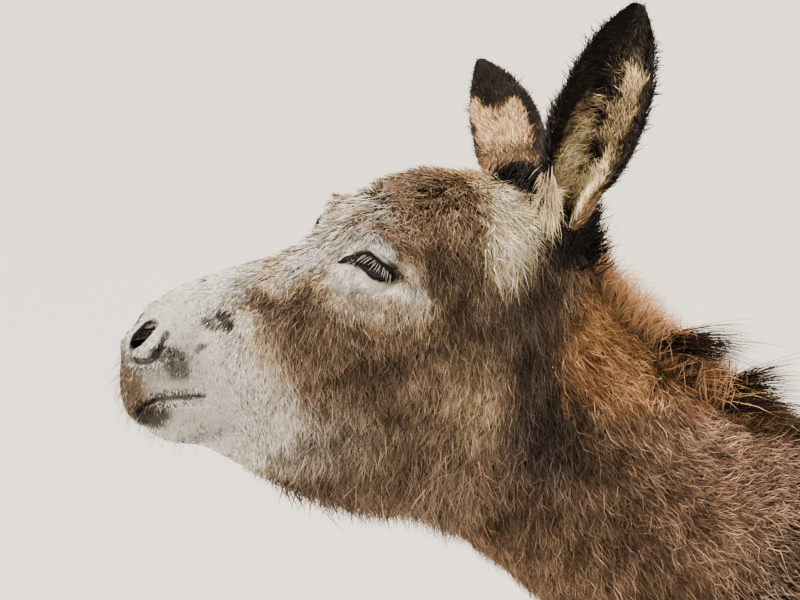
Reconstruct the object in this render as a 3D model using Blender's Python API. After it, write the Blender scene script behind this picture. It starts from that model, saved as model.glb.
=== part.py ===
"""A woolly standard donkey, life size, standing square with its head stretched forward.

Metres, +Z up. The donkey faces -X, so its left side is at -Y. The origin lies on the floor,
under the middle of the whole animal. Every solid has the outline of the winter coat.

The body is modelled whole: lofted masses are fused by a voxel remesh, smoothed where they
blend, given the forms of the face, thinned, and then parted with flat cuts. The ears, eyes,
hooves, mane and tail switch are separate pieces.
"""

import math

import bmesh
import bpy
import numpy as np
from mathutils import Matrix, Vector

# ---------------------------------------------------------------- driving dimensions

WITHERS_HEIGHT = 1.05
HEAD_LENGTH = 0.50
EAR_LENGTH = 0.252
EYE_RADIUS = 0.0220
HOOF_HEIGHT = 0.070
MANE_HEIGHT = 0.034

POLL = Vector((-0.62, 0.0, 1.335))     # top of the head between the ears
ATLAS = Vector((-0.58, 0.0, 1.22))     # where the head turns on the neck
HEAD_PITCH = math.radians(22)          # the face line below the horizontal
HEAD_YAW = math.radians(7)             # turned to the left
HEAD_ROLL = math.radians(-5)           # left ear lower

SEAM = 0.0003                          # gap between two neighbouring solids
VOXEL = 0.0055
KEPT_SHARE = 0.0180                    # of the fused surface, after thinning
SMALL = 0.0001

COLOURS = {
    "coat_brown": ((0.27, 0.19, 0.14), 0.9),
    "coat_dark": ((0.07, 0.055, 0.05), 0.9),
    "coat_pale": ((0.62, 0.56, 0.48), 0.9),
    "hoof_horn": ((0.10, 0.09, 0.08), 0.55),
    "eye": ((0.03, 0.02, 0.015), 0.08),
}


def material(name):
    colour, roughness = COLOURS[name]
    made = bpy.data.materials.get(name)
    if made is None:
        made = bpy.data.materials.new(name)
        made.use_nodes = True
        shader = made.node_tree.nodes["Principled BSDF"]
        shader.inputs["Base Color"].default_value = (*colour, 1.0)
        shader.inputs["Roughness"].default_value = roughness
    return made


# ---------------------------------------------------------------- mesh helpers


def new_object(name, mesh, finish):
    """Links a mesh as a named object with one material."""
    obj = bpy.data.objects.new(name, mesh)
    bpy.context.scene.collection.objects.link(obj)
    mesh.materials.clear()
    mesh.materials.append(material(finish))
    return obj


def mesh_from_rings(name, rings, closed=True):
    """A closed skin over equal rings of points, with a flat cap at each end."""
    count = len(rings[0])
    shape = bmesh.new()
    rows = [[shape.verts.new(point) for point in ring] for ring in rings]
    span = count if closed else count - 1
    for low, high in zip(rows, rows[1:]):
        for i in range(span):
            j = (i + 1) % count
            shape.faces.new((low[i], low[j], high[j], high[i]))
    shape.faces.new(rows[0][::-1])
    shape.faces.new(rows[-1])
    bmesh.ops.recalc_face_normals(shape, faces=shape.faces)
    mesh = bpy.data.meshes.new(name)
    shape.to_mesh(mesh)
    shape.free()
    return mesh


def applied(obj):
    """The object with its modifiers made permanent."""
    graph = bpy.context.evaluated_depsgraph_get()
    mesh = bpy.data.meshes.new_from_object(obj.evaluated_get(graph))
    obj.modifiers.clear()
    old = obj.data
    obj.data = mesh
    bpy.data.meshes.remove(old)
    return obj


def remove(obj):
    bpy.data.objects.remove(obj)


def boolean(obj, other, operation):
    """Cuts obj by other, or joins them, and removes other."""
    change = obj.modifiers.new(operation.lower(), "BOOLEAN")
    change.operation = operation
    change.object = other
    bpy.context.view_layer.update()
    applied(obj)
    remove(other)
    return obj


def flowing(stations, step):
    """Rows of numbers through the stations, evenly spaced at about step along the mid points.

    Each station is (dorsal x, dorsal z, ventral x, ventral z, ...). The curve is a Hermite
    spline whose tangents come from each station's neighbours.
    """
    rows = np.array(stations, float)
    middle = (rows[:, 0:2] + rows[:, 2:4]) / 2
    knots = np.concatenate([[0], np.cumsum(np.linalg.norm(np.diff(middle, axis=0), axis=1))])
    slopes = np.gradient(rows, knots, axis=0)
    at = np.linspace(0, knots[-1], max(2, int(round(knots[-1] / step)) + 1))
    place = np.clip(np.searchsorted(knots, at, side="right") - 1, 0, len(knots) - 2)
    width = (knots[place + 1] - knots[place])[:, None]
    t = ((at - knots[place])[:, None]) / width
    return (
        (2 * t**3 - 3 * t**2 + 1) * rows[place]
        + (t**3 - 2 * t**2 + t) * width * slopes[place]
        + (3 * t**2 - 2 * t**3) * rows[place + 1]
        + (t**3 - t**2) * width * slopes[place + 1]
    )


def section(width, widest, above, below, count=44):
    """A cross-section as (across, up) pairs, up from 0 at the belly to 1 at the back.

    widest is the height of the broadest line; above and below are the roundness of the two
    halves: 2 is an ellipse, less is peaked, more is square.
    """
    points = []
    for k in range(count):
        angle = 2 * math.pi * k / count
        c, s = math.cos(angle), math.sin(angle)
        power = 2 / (above if s >= 0 else below)
        across = width * math.copysign(abs(c) ** power, c)
        reach = (1 - widest) if s >= 0 else widest
        points.append((across, widest + reach * math.copysign(abs(s) ** power, s)))
    return points


def sagittal_loft(name, stations, step=0.014, place=None, count=44):
    """A mass on the middle plane, from stations of dorsal point, ventral point, half width,
    height of the widest line, and roundness above and below it."""
    rings = []
    for dx, dz, vx, vz, width, widest, above, below in flowing(stations, step):
        back, belly = Vector((dx, 0, dz)), Vector((vx, 0, vz))
        ring = []
        for across, up in section(max(width, 0.002), widest, above, below, count):
            point = belly.lerp(back, up) + Vector((0, across, 0))
            ring.append(place @ point if place is not None else point)
        rings.append(ring)
    return new_object(name, mesh_from_rings(name, rings), "coat_brown")


def leg_loft(name, stations, side, step_forward, step=0.012, count=26):
    """A leg from level slices: height, front x, back x, inner y, outer y, roundness."""
    top = stations[0][0]
    rows = flowing([(s[1], s[0], s[2], s[0], s[3], s[4], s[5]) for s in stations], step)
    rings = []
    for front, z, back, _, inner, outer, roundness in rows:
        shift = -step_forward * (1 - max(z, 0) / top)
        centre = Vector(((front + back) / 2 + shift, side * (inner + outer) / 2, z))
        half_long, half_wide = (back - front) / 2, (outer - inner) / 2
        ring = []
        for k in range(count):
            angle = 2 * math.pi * k / count
            c, s = math.cos(angle), math.sin(angle)
            power = 2 / roundness
            ring.append(centre + Vector((
                half_long * math.copysign(abs(c) ** power, c),
                half_wide * math.copysign(abs(s) ** power, s),
                0,
            )))
        rings.append(ring)
    return new_object(name, mesh_from_rings(name, rings), "coat_brown")


def egg(name, centre, radii, turn=(0, 0, 0)):
    """An ellipsoid mass, such as a muscle."""
    shape = bmesh.new()
    bmesh.ops.create_icosphere(shape, subdivisions=3, radius=1)
    spin = Matrix.Rotation(turn[2], 4, "Z") @ Matrix.Rotation(turn[1], 4, "Y") @ Matrix.Rotation(turn[0], 4, "X")
    size = Matrix.Diagonal((*radii, 1))
    bmesh.ops.transform(shape, matrix=Matrix.Translation(centre) @ spin @ size, verts=shape.verts)
    mesh = bpy.data.meshes.new(name)
    shape.to_mesh(mesh)
    shape.free()
    return new_object(name, mesh, "coat_brown")


# ---------------------------------------------------------------- the head's own frame


def head_frame():
    """Maps head coordinates to the world: x to the right, y towards the muzzle, z dorsal."""
    right = Vector((0, 1, 0))
    muzzle = Vector((-math.cos(HEAD_PITCH), 0, -math.sin(HEAD_PITCH)))
    dorsal = Vector((-math.sin(HEAD_PITCH), 0, math.cos(HEAD_PITCH)))
    axes = Matrix((right, muzzle, dorsal)).transposed()
    turn = Matrix.Rotation(HEAD_YAW, 3, "Z") @ Matrix.Rotation(HEAD_ROLL, 3, muzzle)
    pivot = Matrix.Translation(ATLAS)
    return pivot @ turn.to_4x4() @ pivot.inverted() @ Matrix.Translation(POLL) @ axes.to_4x4()


HEAD = head_frame()

# ---------------------------------------------------------------- masses of the body

# dorsal x, dorsal z, ventral x, ventral z, half width, widest, roundness above, below
TRUNK = [
    (-0.475, 0.84, -0.485, 0.74, 0.050, 0.50, 2.0, 2.0),   # breast tip
    (-0.420, 0.95, -0.455, 0.62, 0.118, 0.50, 2.0, 2.0),   # breast
    (-0.310, 1.025, -0.370, 0.55, 0.150, 0.45, 1.9, 2.0),  # shoulder
    (-0.200, WITHERS_HEIGHT, -0.230, 0.53, 0.172, 0.42, 1.75, 2.1),  # withers
    (-0.080, 1.022, -0.090, 0.515, 0.200, 0.42, 1.9, 2.2),  # girth
    (0.050, 1.000, 0.050, 0.508, 0.222, 0.42, 2.1, 2.2),   # mid back
    (0.180, 1.010, 0.170, 0.528, 0.215, 0.45, 2.1, 2.1),   # loin
    (0.300, 1.035, 0.270, 0.585, 0.190, 0.50, 2.0, 2.0),   # croup
    (0.410, 1.015, 0.370, 0.650, 0.160, 0.55, 2.0, 2.0),   # rump
    (0.490, 0.960, 0.450, 0.710, 0.115, 0.60, 2.0, 2.0),   # tail head
    (0.525, 0.900, 0.500, 0.790, 0.060, 0.60, 2.0, 2.0),   # buttock
]

NECK = [
    (-0.150, 1.025, -0.370, 0.640, 0.130, 0.45, 1.8, 2.0),  # inside the shoulder
    (-0.260, 1.043, -0.480, 0.715, 0.130, 0.45, 1.7, 2.0),  # base
    (-0.345, 1.062, -0.552, 0.785, 0.122, 0.46, 1.7, 2.0),
    (-0.420, 1.108, -0.622, 0.848, 0.114, 0.48, 1.75, 2.0),
    (-0.490, 1.168, -0.688, 0.902, 0.108, 0.50, 1.8, 1.9),
    (-0.552, 1.228, -0.742, 0.950, 0.100, 0.54, 1.9, 1.8),  # throat
    (-0.610, 1.285, -0.785, 0.995, 0.086, 0.58, 2.0, 1.8),  # inside the head
]

# The head's stations are in its own frame: u towards the muzzle and v dorsal, in (u, v) pairs.
HEAD_STATIONS = [
    (-0.030, -0.030, -0.030, -0.310, 0.070, 0.62, 2.0, 1.9),
    (0.010, 0.005, 0.005, -0.355, 0.081, 0.64, 2.2, 1.8),   # poll
    (0.055, 0.033, 0.060, -0.368, 0.088, 0.67, 2.4, 1.7),   # forehead
    (0.105, 0.055, 0.115, -0.364, 0.095, 0.70, 2.5, 1.65),  # brows
    (0.155, 0.060, 0.172, -0.350, 0.097, 0.74, 2.5, 1.6),
    (0.205, 0.051, 0.232, -0.330, 0.091, 0.75, 2.4, 1.6),   # orbits
    (0.255, 0.036, 0.290, -0.302, 0.081, 0.74, 2.3, 1.6),
    (0.305, 0.031, 0.340, -0.264, 0.071, 0.71, 2.3, 1.65),  # nose bridge
    (0.350, 0.036, 0.382, -0.226, 0.064, 0.68, 2.3, 1.75),
    (0.392, 0.040, 0.416, -0.184, 0.059, 0.64, 2.3, 1.9),   # corner of the mouth
    (0.420, 0.039, 0.436, -0.149, 0.059, 0.60, 2.3, 2.1),
    (0.444, 0.032, 0.452, -0.124, 0.060, 0.56, 2.3, 2.3),   # nostrils
    (0.470, 0.014, 0.474, -0.110, 0.054, 0.54, 2.2, 2.4),
    (0.489, -0.010, 0.492, -0.090, 0.042, 0.50, 2.1, 2.2),  # lips
    (0.503, -0.040, 0.500, -0.068, 0.022, 0.50, 2.0, 2.0),
]

# height, front x, back x, inner y, outer y, roundness
FORELEG = [
    (0.940, -0.330, -0.210, 0.010, 0.110, 2.0),  # shoulder blade
    (0.840, -0.425, -0.210, 0.020, 0.158, 2.0),
    (0.740, -0.465, -0.225, 0.030, 0.172, 2.0),  # point of the shoulder
    (0.650, -0.435, -0.240, 0.045, 0.168, 2.1),
    (0.580, -0.405, -0.262, 0.058, 0.160, 2.1),  # elbow
    (0.500, -0.390, -0.283, 0.070, 0.152, 2.1),
    (0.420, -0.377, -0.300, 0.080, 0.144, 2.2),  # forearm
    (0.370, -0.374, -0.304, 0.080, 0.143, 2.3),
    (0.330, -0.378, -0.303, 0.077, 0.145, 2.5),  # knee
    (0.290, -0.370, -0.305, 0.081, 0.141, 2.3),
    (0.230, -0.363, -0.306, 0.085, 0.137, 2.1),  # cannon
    (0.175, -0.364, -0.304, 0.084, 0.138, 2.1),
    (0.140, -0.371, -0.300, 0.080, 0.142, 2.2),  # fetlock
    (0.108, -0.379, -0.312, 0.084, 0.138, 2.2),  # pastern
    (0.080, -0.392, -0.313, 0.078, 0.144, 2.3),  # coronet
    (0.050, -0.400, -0.315, 0.076, 0.146, 2.3),
]

HINDLEG = [
    (0.960, 0.330, 0.450, 0.005, 0.095, 2.0),   # hip
    (0.880, 0.260, 0.520, 0.010, 0.160, 2.1),
    (0.790, 0.235, 0.545, 0.018, 0.180, 2.2),   # haunch
    (0.700, 0.225, 0.535, 0.028, 0.182, 2.2),
    (0.625, 0.218, 0.500, 0.040, 0.176, 2.1),   # stifle
    (0.555, 0.245, 0.475, 0.055, 0.164, 2.0),
    (0.490, 0.310, 0.478, 0.068, 0.152, 2.0),   # gaskin
    (0.440, 0.378, 0.515, 0.076, 0.144, 2.0),
    (0.405, 0.412, 0.536, 0.077, 0.145, 2.2),   # point of the hock
    (0.365, 0.436, 0.526, 0.077, 0.145, 2.4),
    (0.320, 0.450, 0.514, 0.080, 0.141, 2.3),
    (0.250, 0.455, 0.511, 0.083, 0.138, 2.1),   # cannon
    (0.185, 0.452, 0.512, 0.083, 0.138, 2.1),
    (0.142, 0.443, 0.513, 0.079, 0.142, 2.2),   # fetlock
    (0.108, 0.430, 0.496, 0.083, 0.138, 2.2),   # pastern
    (0.080, 0.414, 0.490, 0.078, 0.143, 2.3),   # coronet
    (0.050, 0.405, 0.488, 0.076, 0.145, 2.3),
]

# the dock: dorsal x, dorsal z, ventral x, ventral z, half width, widest, roundness
TAIL = [
    (0.430, 0.990, 0.450, 0.905, 0.040, 0.5, 2.0, 2.0),
    (0.505, 0.972, 0.482, 0.895, 0.038, 0.5, 2.0, 2.0),
    (0.565, 0.920, 0.512, 0.872, 0.034, 0.5, 2.0, 2.0),
    (0.598, 0.840, 0.540, 0.824, 0.030, 0.5, 2.0, 2.0),
    (0.606, 0.740, 0.554, 0.736, 0.027, 0.5, 2.0, 2.0),
    (0.604, 0.640, 0.558, 0.640, 0.025, 0.5, 2.0, 2.0),
    (0.602, 0.560, 0.560, 0.560, 0.024, 0.5, 2.0, 2.0),
]

LEG_STEP = {"front_left": 0.025, "front_right": -0.015, "hind_left": 0.045, "hind_right": -0.020}


def head_mass():
    rows = [(u1, v1, u2, v2, *rest) for u1, v1, u2, v2, *rest in HEAD_STATIONS]
    swap = Matrix(((0, 1, 0, 0), (1, 0, 0, 0), (0, 0, 1, 0), (0, 0, 0, 1)))
    return sagittal_loft("head_mass", rows, 0.008, HEAD @ swap)


def ear_axes(side):
    """(base centre, axis to the tip, direction that the opening faces) in the world."""
    base = HEAD @ Vector((side * 0.058, 0.010, -0.046))
    if side < 0:    # the left ear stands up and back, with its opening to the side
        axis = Vector((0.165, -0.36, 0.92))
        opening = Vector((-0.30, -1.0, 0.0))
    else:           # the right ear drops outwards
        axis = Vector((0.03, 0.82, 0.50))
        opening = Vector((0.45, 0.20, -0.60))
    axis.normalize()
    opening = (opening - axis * opening.dot(axis)).normalized()
    return base, axis, opening


EAR_ROOT = 0.030    # how far up its axis the ear leaves the head


def ear_butt(side):
    """The fleshy root that carries an ear."""
    base, axis, opening = ear_axes(side)
    across = axis.cross(opening)
    rings = []
    for along, radius in ((-0.055, 0.034), (-0.02, 0.034), (0.01, 0.030), (EAR_ROOT + 0.015, 0.026)):
        rings.append([
            base + axis * along
            + across * (radius * math.cos(2 * math.pi * k / 24))
            + opening * (radius * math.sin(2 * math.pi * k / 24))
            for k in range(24)
        ])
    return new_object("ear_butt", mesh_from_rings("ear_butt", rings), "coat_brown")


def fused_body():
    """Every fleshy mass as one closed surface."""
    masses = [
        sagittal_loft("trunk_mass", TRUNK),
        sagittal_loft("neck_mass", NECK),
        head_mass(),
        sagittal_loft("dock_mass", TAIL, 0.01),
    ]
    for name, stations in (("front", FORELEG), ("hind", HINDLEG)):
        for end, side in (("left", -1), ("right", 1)):
            key = f"{name}_{end}"
            masses.append(leg_loft(key, stations, side, LEG_STEP[key]))
    for side in (-1, 1):
        masses.append(ear_butt(side))
        masses.append(egg("blade", (-0.270, side * 0.080, 0.85), (0.090, 0.070, 0.150), (0, 0.35, 0)))
        masses.append(egg("haunch", (0.385, side * 0.080, 0.83), (0.135, 0.095, 0.150)))
        masses.append(egg("breast", (-0.430, side * 0.062, 0.740), (0.055, 0.065, 0.095)))
        masses.append(egg("forearm", (-0.325, side * 0.115, 0.575), (0.070, 0.042, 0.100), (0, 0.12, 0)))
        masses.append(egg("gaskin", (0.345, side * 0.112, 0.580), (0.100, 0.050, 0.110), (0, -0.5, 0)))
    bpy.ops.object.select_all(action="DESELECT")
    for mass in masses:
        mass.select_set(True)
    bpy.context.view_layer.objects.active = masses[0]
    bpy.ops.object.join()
    body = masses[0]
    body.name = "body"
    skin = body.modifiers.new("fuse", "REMESH")
    skin.mode = "VOXEL"
    skin.voxel_size = VOXEL
    applied(body)
    return body


# ---------------------------------------------------------------- forms of the surface


def places_of(mesh):
    places = np.empty(len(mesh.vertices) * 3, np.float32)
    mesh.vertices.foreach_get("co", places)
    return places.reshape(-1, 3).astype(float)


def set_places(mesh, places):
    mesh.vertices.foreach_set("co", places.astype(np.float32).ravel())
    mesh.update()


def normals_of(mesh):
    normals = np.empty(len(mesh.vertices) * 3, np.float32)
    mesh.vertex_normals.foreach_get("vector", normals)
    return normals.reshape(-1, 3).astype(float)


def relax(mesh, rounds, strength):
    """Smooths the surface; strength is each vertex's share of the move, as an array."""
    edges = np.empty(len(mesh.edges) * 2, np.int32)
    mesh.edges.foreach_get("vertices", edges)
    a, b = edges.reshape(-1, 2).T
    places = places_of(mesh)
    count = np.bincount(a, minlength=len(places)) + np.bincount(b, minlength=len(places))
    for _ in range(rounds):
        total = np.zeros_like(places)
        for axis in range(3):
            total[:, axis] += np.bincount(a, places[b, axis], len(places))
            total[:, axis] += np.bincount(b, places[a, axis], len(places))
        places += (total / count[:, None] - places) * strength[:, None]
    set_places(mesh, places)


def in_head(places):
    """World places in the head's own frame."""
    matrix = np.array(HEAD.inverted())
    return places @ matrix[:3, :3].T + matrix[:3, 3]


def bump(points, centre, radii, axes=None):
    """A soft hill of height 1 round a centre, for both sides of the head at once."""
    mirrored = points * [1, 1, 1]
    mirrored[:, 0] = np.abs(mirrored[:, 0])
    away = mirrored - centre
    if axes is not None:
        away = away @ np.array(axes).T
    return np.exp(-((away / radii) ** 2).sum(1))


def along_line(points, line, radius):
    """A soft ridge of height 1 round a line of points, on both sides of the head."""
    mirrored = points.copy()
    mirrored[:, 0] = np.abs(mirrored[:, 0])
    nearest = np.full(len(points), 1e9)
    for start, end in zip(line, line[1:]):
        start, end = np.array(start), np.array(end)
        span = end - start
        share = np.clip((mirrored - start) @ span / (span @ span), 0, 1)
        nearest = np.minimum(nearest, np.linalg.norm(mirrored - start - share[:, None] * span, axis=1))
    return np.exp(-((nearest / radius) ** 2))


EYE_PLACE = (0.0655, 0.216, 0.003)     # right, towards the muzzle, dorsal
NOSTRIL = (0.040, 0.456, 0.026)
MOUTH = [(0.0, 0.494, -0.066), (0.030, 0.481, -0.051), (0.043, 0.467, -0.046),
         (0.052, 0.450, -0.048), (0.056, 0.426, -0.057)]


def model_face(mesh):
    """Pushes the brows, sockets, cheeks, nostrils, lips and chin into the head."""
    places, normals = places_of(mesh), normals_of(mesh)
    at = in_head(places)
    head = (at[:, 1] > -0.02) & (np.abs(at[:, 0]) < 0.14) & (at[:, 2] > -0.33)
    push = np.zeros(len(places))
    push += 0.010 * bump(at, (0.080, 0.195, 0.030), (0.022, 0.036, 0.018))    # brow
    push += 0.007 * bump(at, (0.092, 0.225, -0.045), (0.03, 0.05, 0.018))     # bone below the eye
    push -= 0.007 * bump(at, (0.075, 0.140, 0.030), (0.03, 0.028, 0.018))     # hollow above the eye
    push -= 0.009 * bump(at, (0.088, 0.218, 0.002), (0.03, 0.024, 0.018))    # socket
    push += 0.010 * bump(at, (0.080, 0.120, -0.150), (0.05, 0.075, 0.080))    # cheek
    push -= 0.008 * bump(at, (0.070, 0.290, -0.105), (0.05, 0.060, 0.035))    # below the cheekbone
    push -= 0.006 * bump(at, (0.058, 0.385, 0.000), (0.03, 0.035, 0.030))     # behind the nostril
    push += 0.011 * bump(at, (0.050, 0.440, 0.006), (0.022, 0.022, 0.026))    # wing of the nostril
    push += 0.006 * bump(at, (0.030, 0.480, 0.024), (0.020, 0.020, 0.016))    # inner wing
    push += 0.004 * bump(at, (0.050, 0.460, -0.100), (0.040, 0.028, 0.022))   # chin
    push -= 0.007 * bump(at, (0.040, 0.431, -0.118), (0.040, 0.007, 0.022))   # chin groove
    push -= 0.006 * along_line(at, MOUTH, 0.006)
    push -= 0.007 * bump(at, (0.0, 0.50, 0.004), (0.010, 0.030, 0.030))       # between the nostrils
    slot = (at * [1, 1, 1]) - 0
    slot[:, 0] = np.abs(slot[:, 0])
    away = slot - NOSTRIL
    lean = math.radians(38)             # the nostril's long way runs up and back
    along = away[:, 1] * -math.sin(lean) + away[:, 2] * math.cos(lean)
    across = away[:, 1] * math.cos(lean) + away[:, 2] * math.sin(lean)
    hole = np.exp(-((along / 0.016) ** 2 + (across / 0.0085) ** 2 + (away[:, 0] / 0.03) ** 2) ** 1.5)
    push *= head
    places += normals * push[:, None]
    inwards = np.array(HEAD.to_3x3() @ Vector((0, -1, -0.15)).normalized())
    side = -np.sign(at[:, 0])[:, None] * np.array(HEAD.to_3x3() @ Vector((0.55, 0, 0)))
    places += (hole * head * 0.026)[:, None] * (inwards + side)
    set_places(mesh, places)


def model_body(mesh):
    """Softens the joins of the masses, then marks the forms under the coat."""
    places = places_of(mesh)
    at = in_head(places)
    legs = np.clip((0.56 - places[:, 2]) / 0.10, 0, 1)
    head = np.clip((at[:, 1] - 0.06) / 0.08, 0, 1) * (places[:, 2] > 0.9)
    tail = (places[:, 0] > 0.53) * 1.0
    keep = np.maximum.reduce([0.80 * legs, 0.80 * head, 0.8 * tail])
    ears = np.minimum(
        np.linalg.norm(places - np.array(ear_axes(-1)[0] + ear_axes(-1)[1] * EAR_ROOT), axis=1),
        np.linalg.norm(places - np.array(ear_axes(1)[0] + ear_axes(1)[1] * EAR_ROOT), axis=1),
    )
    keep = np.maximum(keep, np.clip((0.05 - ears) / 0.02, 0, 0.85))
    relax(mesh, 26, 0.6 * (1 - keep))
    places, normals = places_of(mesh), normals_of(mesh)
    mirrored = places * [1, 1, 1]
    mirrored[:, 1] = np.abs(mirrored[:, 1])

    def hill(centre, radii):
        return np.exp(-(((mirrored - centre) / radii) ** 2).sum(1))

    push = np.zeros(len(places))
    push += 0.008 * hill((0.315, 0.15, 0.99), (0.05, 0.05, 0.04))      # point of the hip
    push -= 0.012 * hill((0.215, 0.20, 0.80), (0.06, 0.06, 0.11))      # flank
    push += 0.006 * hill((-0.30, 0.16, 0.74), (0.05, 0.06, 0.05))      # point of the elbow
    push -= 0.008 * hill((-0.20, 0.18, 0.70), (0.04, 0.08, 0.12))      # behind the shoulder
    push -= 0.008 * hill((-0.47, 0.00, 0.72), (0.05, 0.018, 0.09))     # between the breasts
    push -= 0.010 * hill((-0.55, 0.10, 1.17), (0.035, 0.06, 0.10))     # behind the jaw
    places += normals * push[:, None]
    set_places(mesh, places)


# ---------------------------------------------------------------- parting the body


def thin_out(body):
    """Thins the surface, keeping more of it on the head."""
    at = in_head(places_of(body.data))
    group = body.vertex_groups.new(name="open")
    muzzle = at[:, 1] > 0.38
    face = (at[:, 1] > 0.02) & (at[:, 2] > -0.33) & ~muzzle
    body_part = ~(muzzle | face)
    for chosen, weight in ((muzzle, 0.05), (face, 0.30), (body_part, 1.0)):
        group.add([int(i) for i in np.nonzero(chosen)[0]], weight, "REPLACE")
    thin = body.modifiers.new("thin", "DECIMATE")
    thin.vertex_group = "open"
    thin.vertex_group_factor = 0.009
    thin.ratio = KEPT_SHARE
    thin.use_collapse_triangulate = True
    applied(body)
    body.vertex_groups.clear()


def leg_point(end, side, word, height):
    """The middle of a leg at a height."""
    stations = FORELEG if end == "front" else HINDLEG
    near = min(stations, key=lambda s: abs(s[0] - height))
    shift = -LEG_STEP[f"{end}_{word}"] * (1 - height / stations[0][0])
    return Vector(((near[1] + near[2]) / 2 + shift, side * (near[3] + near[4]) / 2, height))


def cut_planes():
    """The centre and the normal of each cut."""
    cuts = [
        ((-0.385, 0, 0.905), (-0.80, 0, 0.60)),     # neck from trunk
        ((-0.630, 0, 1.125), (-0.92, 0, 0.39)),     # head from neck
        ((0.578, 0, 0.790), (0, 0, -1)),            # tail from trunk
        ((0.581, 0, 0.575), (0, 0, -1)),            # end of the dock
    ]
    for end, heights in (("front", (0.512, 0.330, HOOF_HEIGHT)), ("hind", (0.504, 0.385, HOOF_HEIGHT))):
        for side, word in ((-1, "left"), (1, "right")):
            for height in heights:
                cuts.append((leg_point(end, side, word, height), (0, 0, -1)))
    for side in (-1, 1):
        base, axis, _ = ear_axes(side)
        cuts.append((base + axis * EAR_ROOT, axis))
    return [(Vector(centre), Vector(normal).normalized()) for centre, normal in cuts]


def crossed_faces(shape, centre, normal):
    """The one closed band of faces that a plane crosses nearest to a centre."""
    height = {v: (v.co - centre).dot(normal) for v in shape.verts}
    crossed = [f for f in shape.faces if len({height[v] > 0 for v in f.verts}) == 2]
    waiting, bands = set(crossed), []
    while waiting:
        stack = [waiting.pop()]
        band = list(stack)
        while stack:
            for edge in stack.pop().edges:
                for face in edge.link_faces:
                    if face in waiting:
                        waiting.remove(face)
                        stack.append(face)
                        band.append(face)
        bands.append(band)

    def distance(band):
        middle = sum((f.calc_center_median() for f in band), Vector()) / len(band)
        return (middle - centre).length

    return min(bands, key=distance)


def part_body(body):
    """Cuts the body with each plane and caps both sides, half a seam back from the plane."""
    shape = bmesh.new()
    shape.from_mesh(body.data)
    for centre, normal in cut_planes():
        band = crossed_faces(shape, centre, normal)
        edges = {e for f in band for e in f.edges}
        verts = {v for f in band for v in f.verts}
        made = bmesh.ops.bisect_plane(
            shape, geom=[*verts, *edges, *band], dist=SMALL,
            plane_co=centre, plane_no=normal,
        )
        rim = [e for e in made["geom_cut"] if isinstance(e, bmesh.types.BMEdge)]
        bmesh.ops.split_edges(shape, edges=rim)
        open_edges = [e for e in shape.edges if e.is_boundary]
        for cap in bmesh.ops.holes_fill(shape, edges=open_edges, sides=0)["faces"]:
            cap.normal_update()
            for vert in cap.verts:
                vert.co -= cap.normal * (SEAM / 2)
    bmesh.ops.triangulate(shape, faces=[f for f in shape.faces if len(f.verts) > 4])
    shape.to_mesh(body.data)
    shape.free()


def islands(body):
    """The body's loose parts as separate objects."""
    bpy.ops.object.select_all(action="DESELECT")
    body.select_set(True)
    bpy.context.view_layer.objects.active = body
    bpy.ops.object.mode_set(mode="EDIT")
    bpy.ops.mesh.select_all(action="SELECT")
    bpy.ops.mesh.separate(type="LOOSE")
    bpy.ops.object.mode_set(mode="OBJECT")
    return list(bpy.context.selected_objects)


def name_islands(parts):
    """Names each loose part by the body region that its middle lies in."""
    seeds = {
        "trunk": Vector((0.02, 0, 0.80)),
        "neck": Vector((-0.52, 0, 1.03)),
        "head": HEAD @ Vector((0, 0.20, -0.10)),
        "tail": Vector((0.58, 0, 0.69)),
    }
    for end in ("front", "hind"):
        for side, word in ((-1, "left"), (1, "right")):
            seeds[f"leg_{end}_{word}_upper"] = leg_point(end, side, word, 0.43)
            seeds[f"leg_{end}_{word}_lower"] = leg_point(end, side, word, 0.21)
    named = {}
    for part in parts:
        places = places_of(part.data)
        middle = Vector((places.min(0) + places.max(0)) / 2)
        name, far = min(((n, (s - middle).length) for n, s in seeds.items()), key=lambda x: x[1])
        if far < 0.11 and len(places) > 30:
            part.name = name
            named[name] = part
        else:                           # the trimmed ends of ears, dock and legs
            remove(part)
    return named


# ---------------------------------------------------------------- separate pieces


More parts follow.
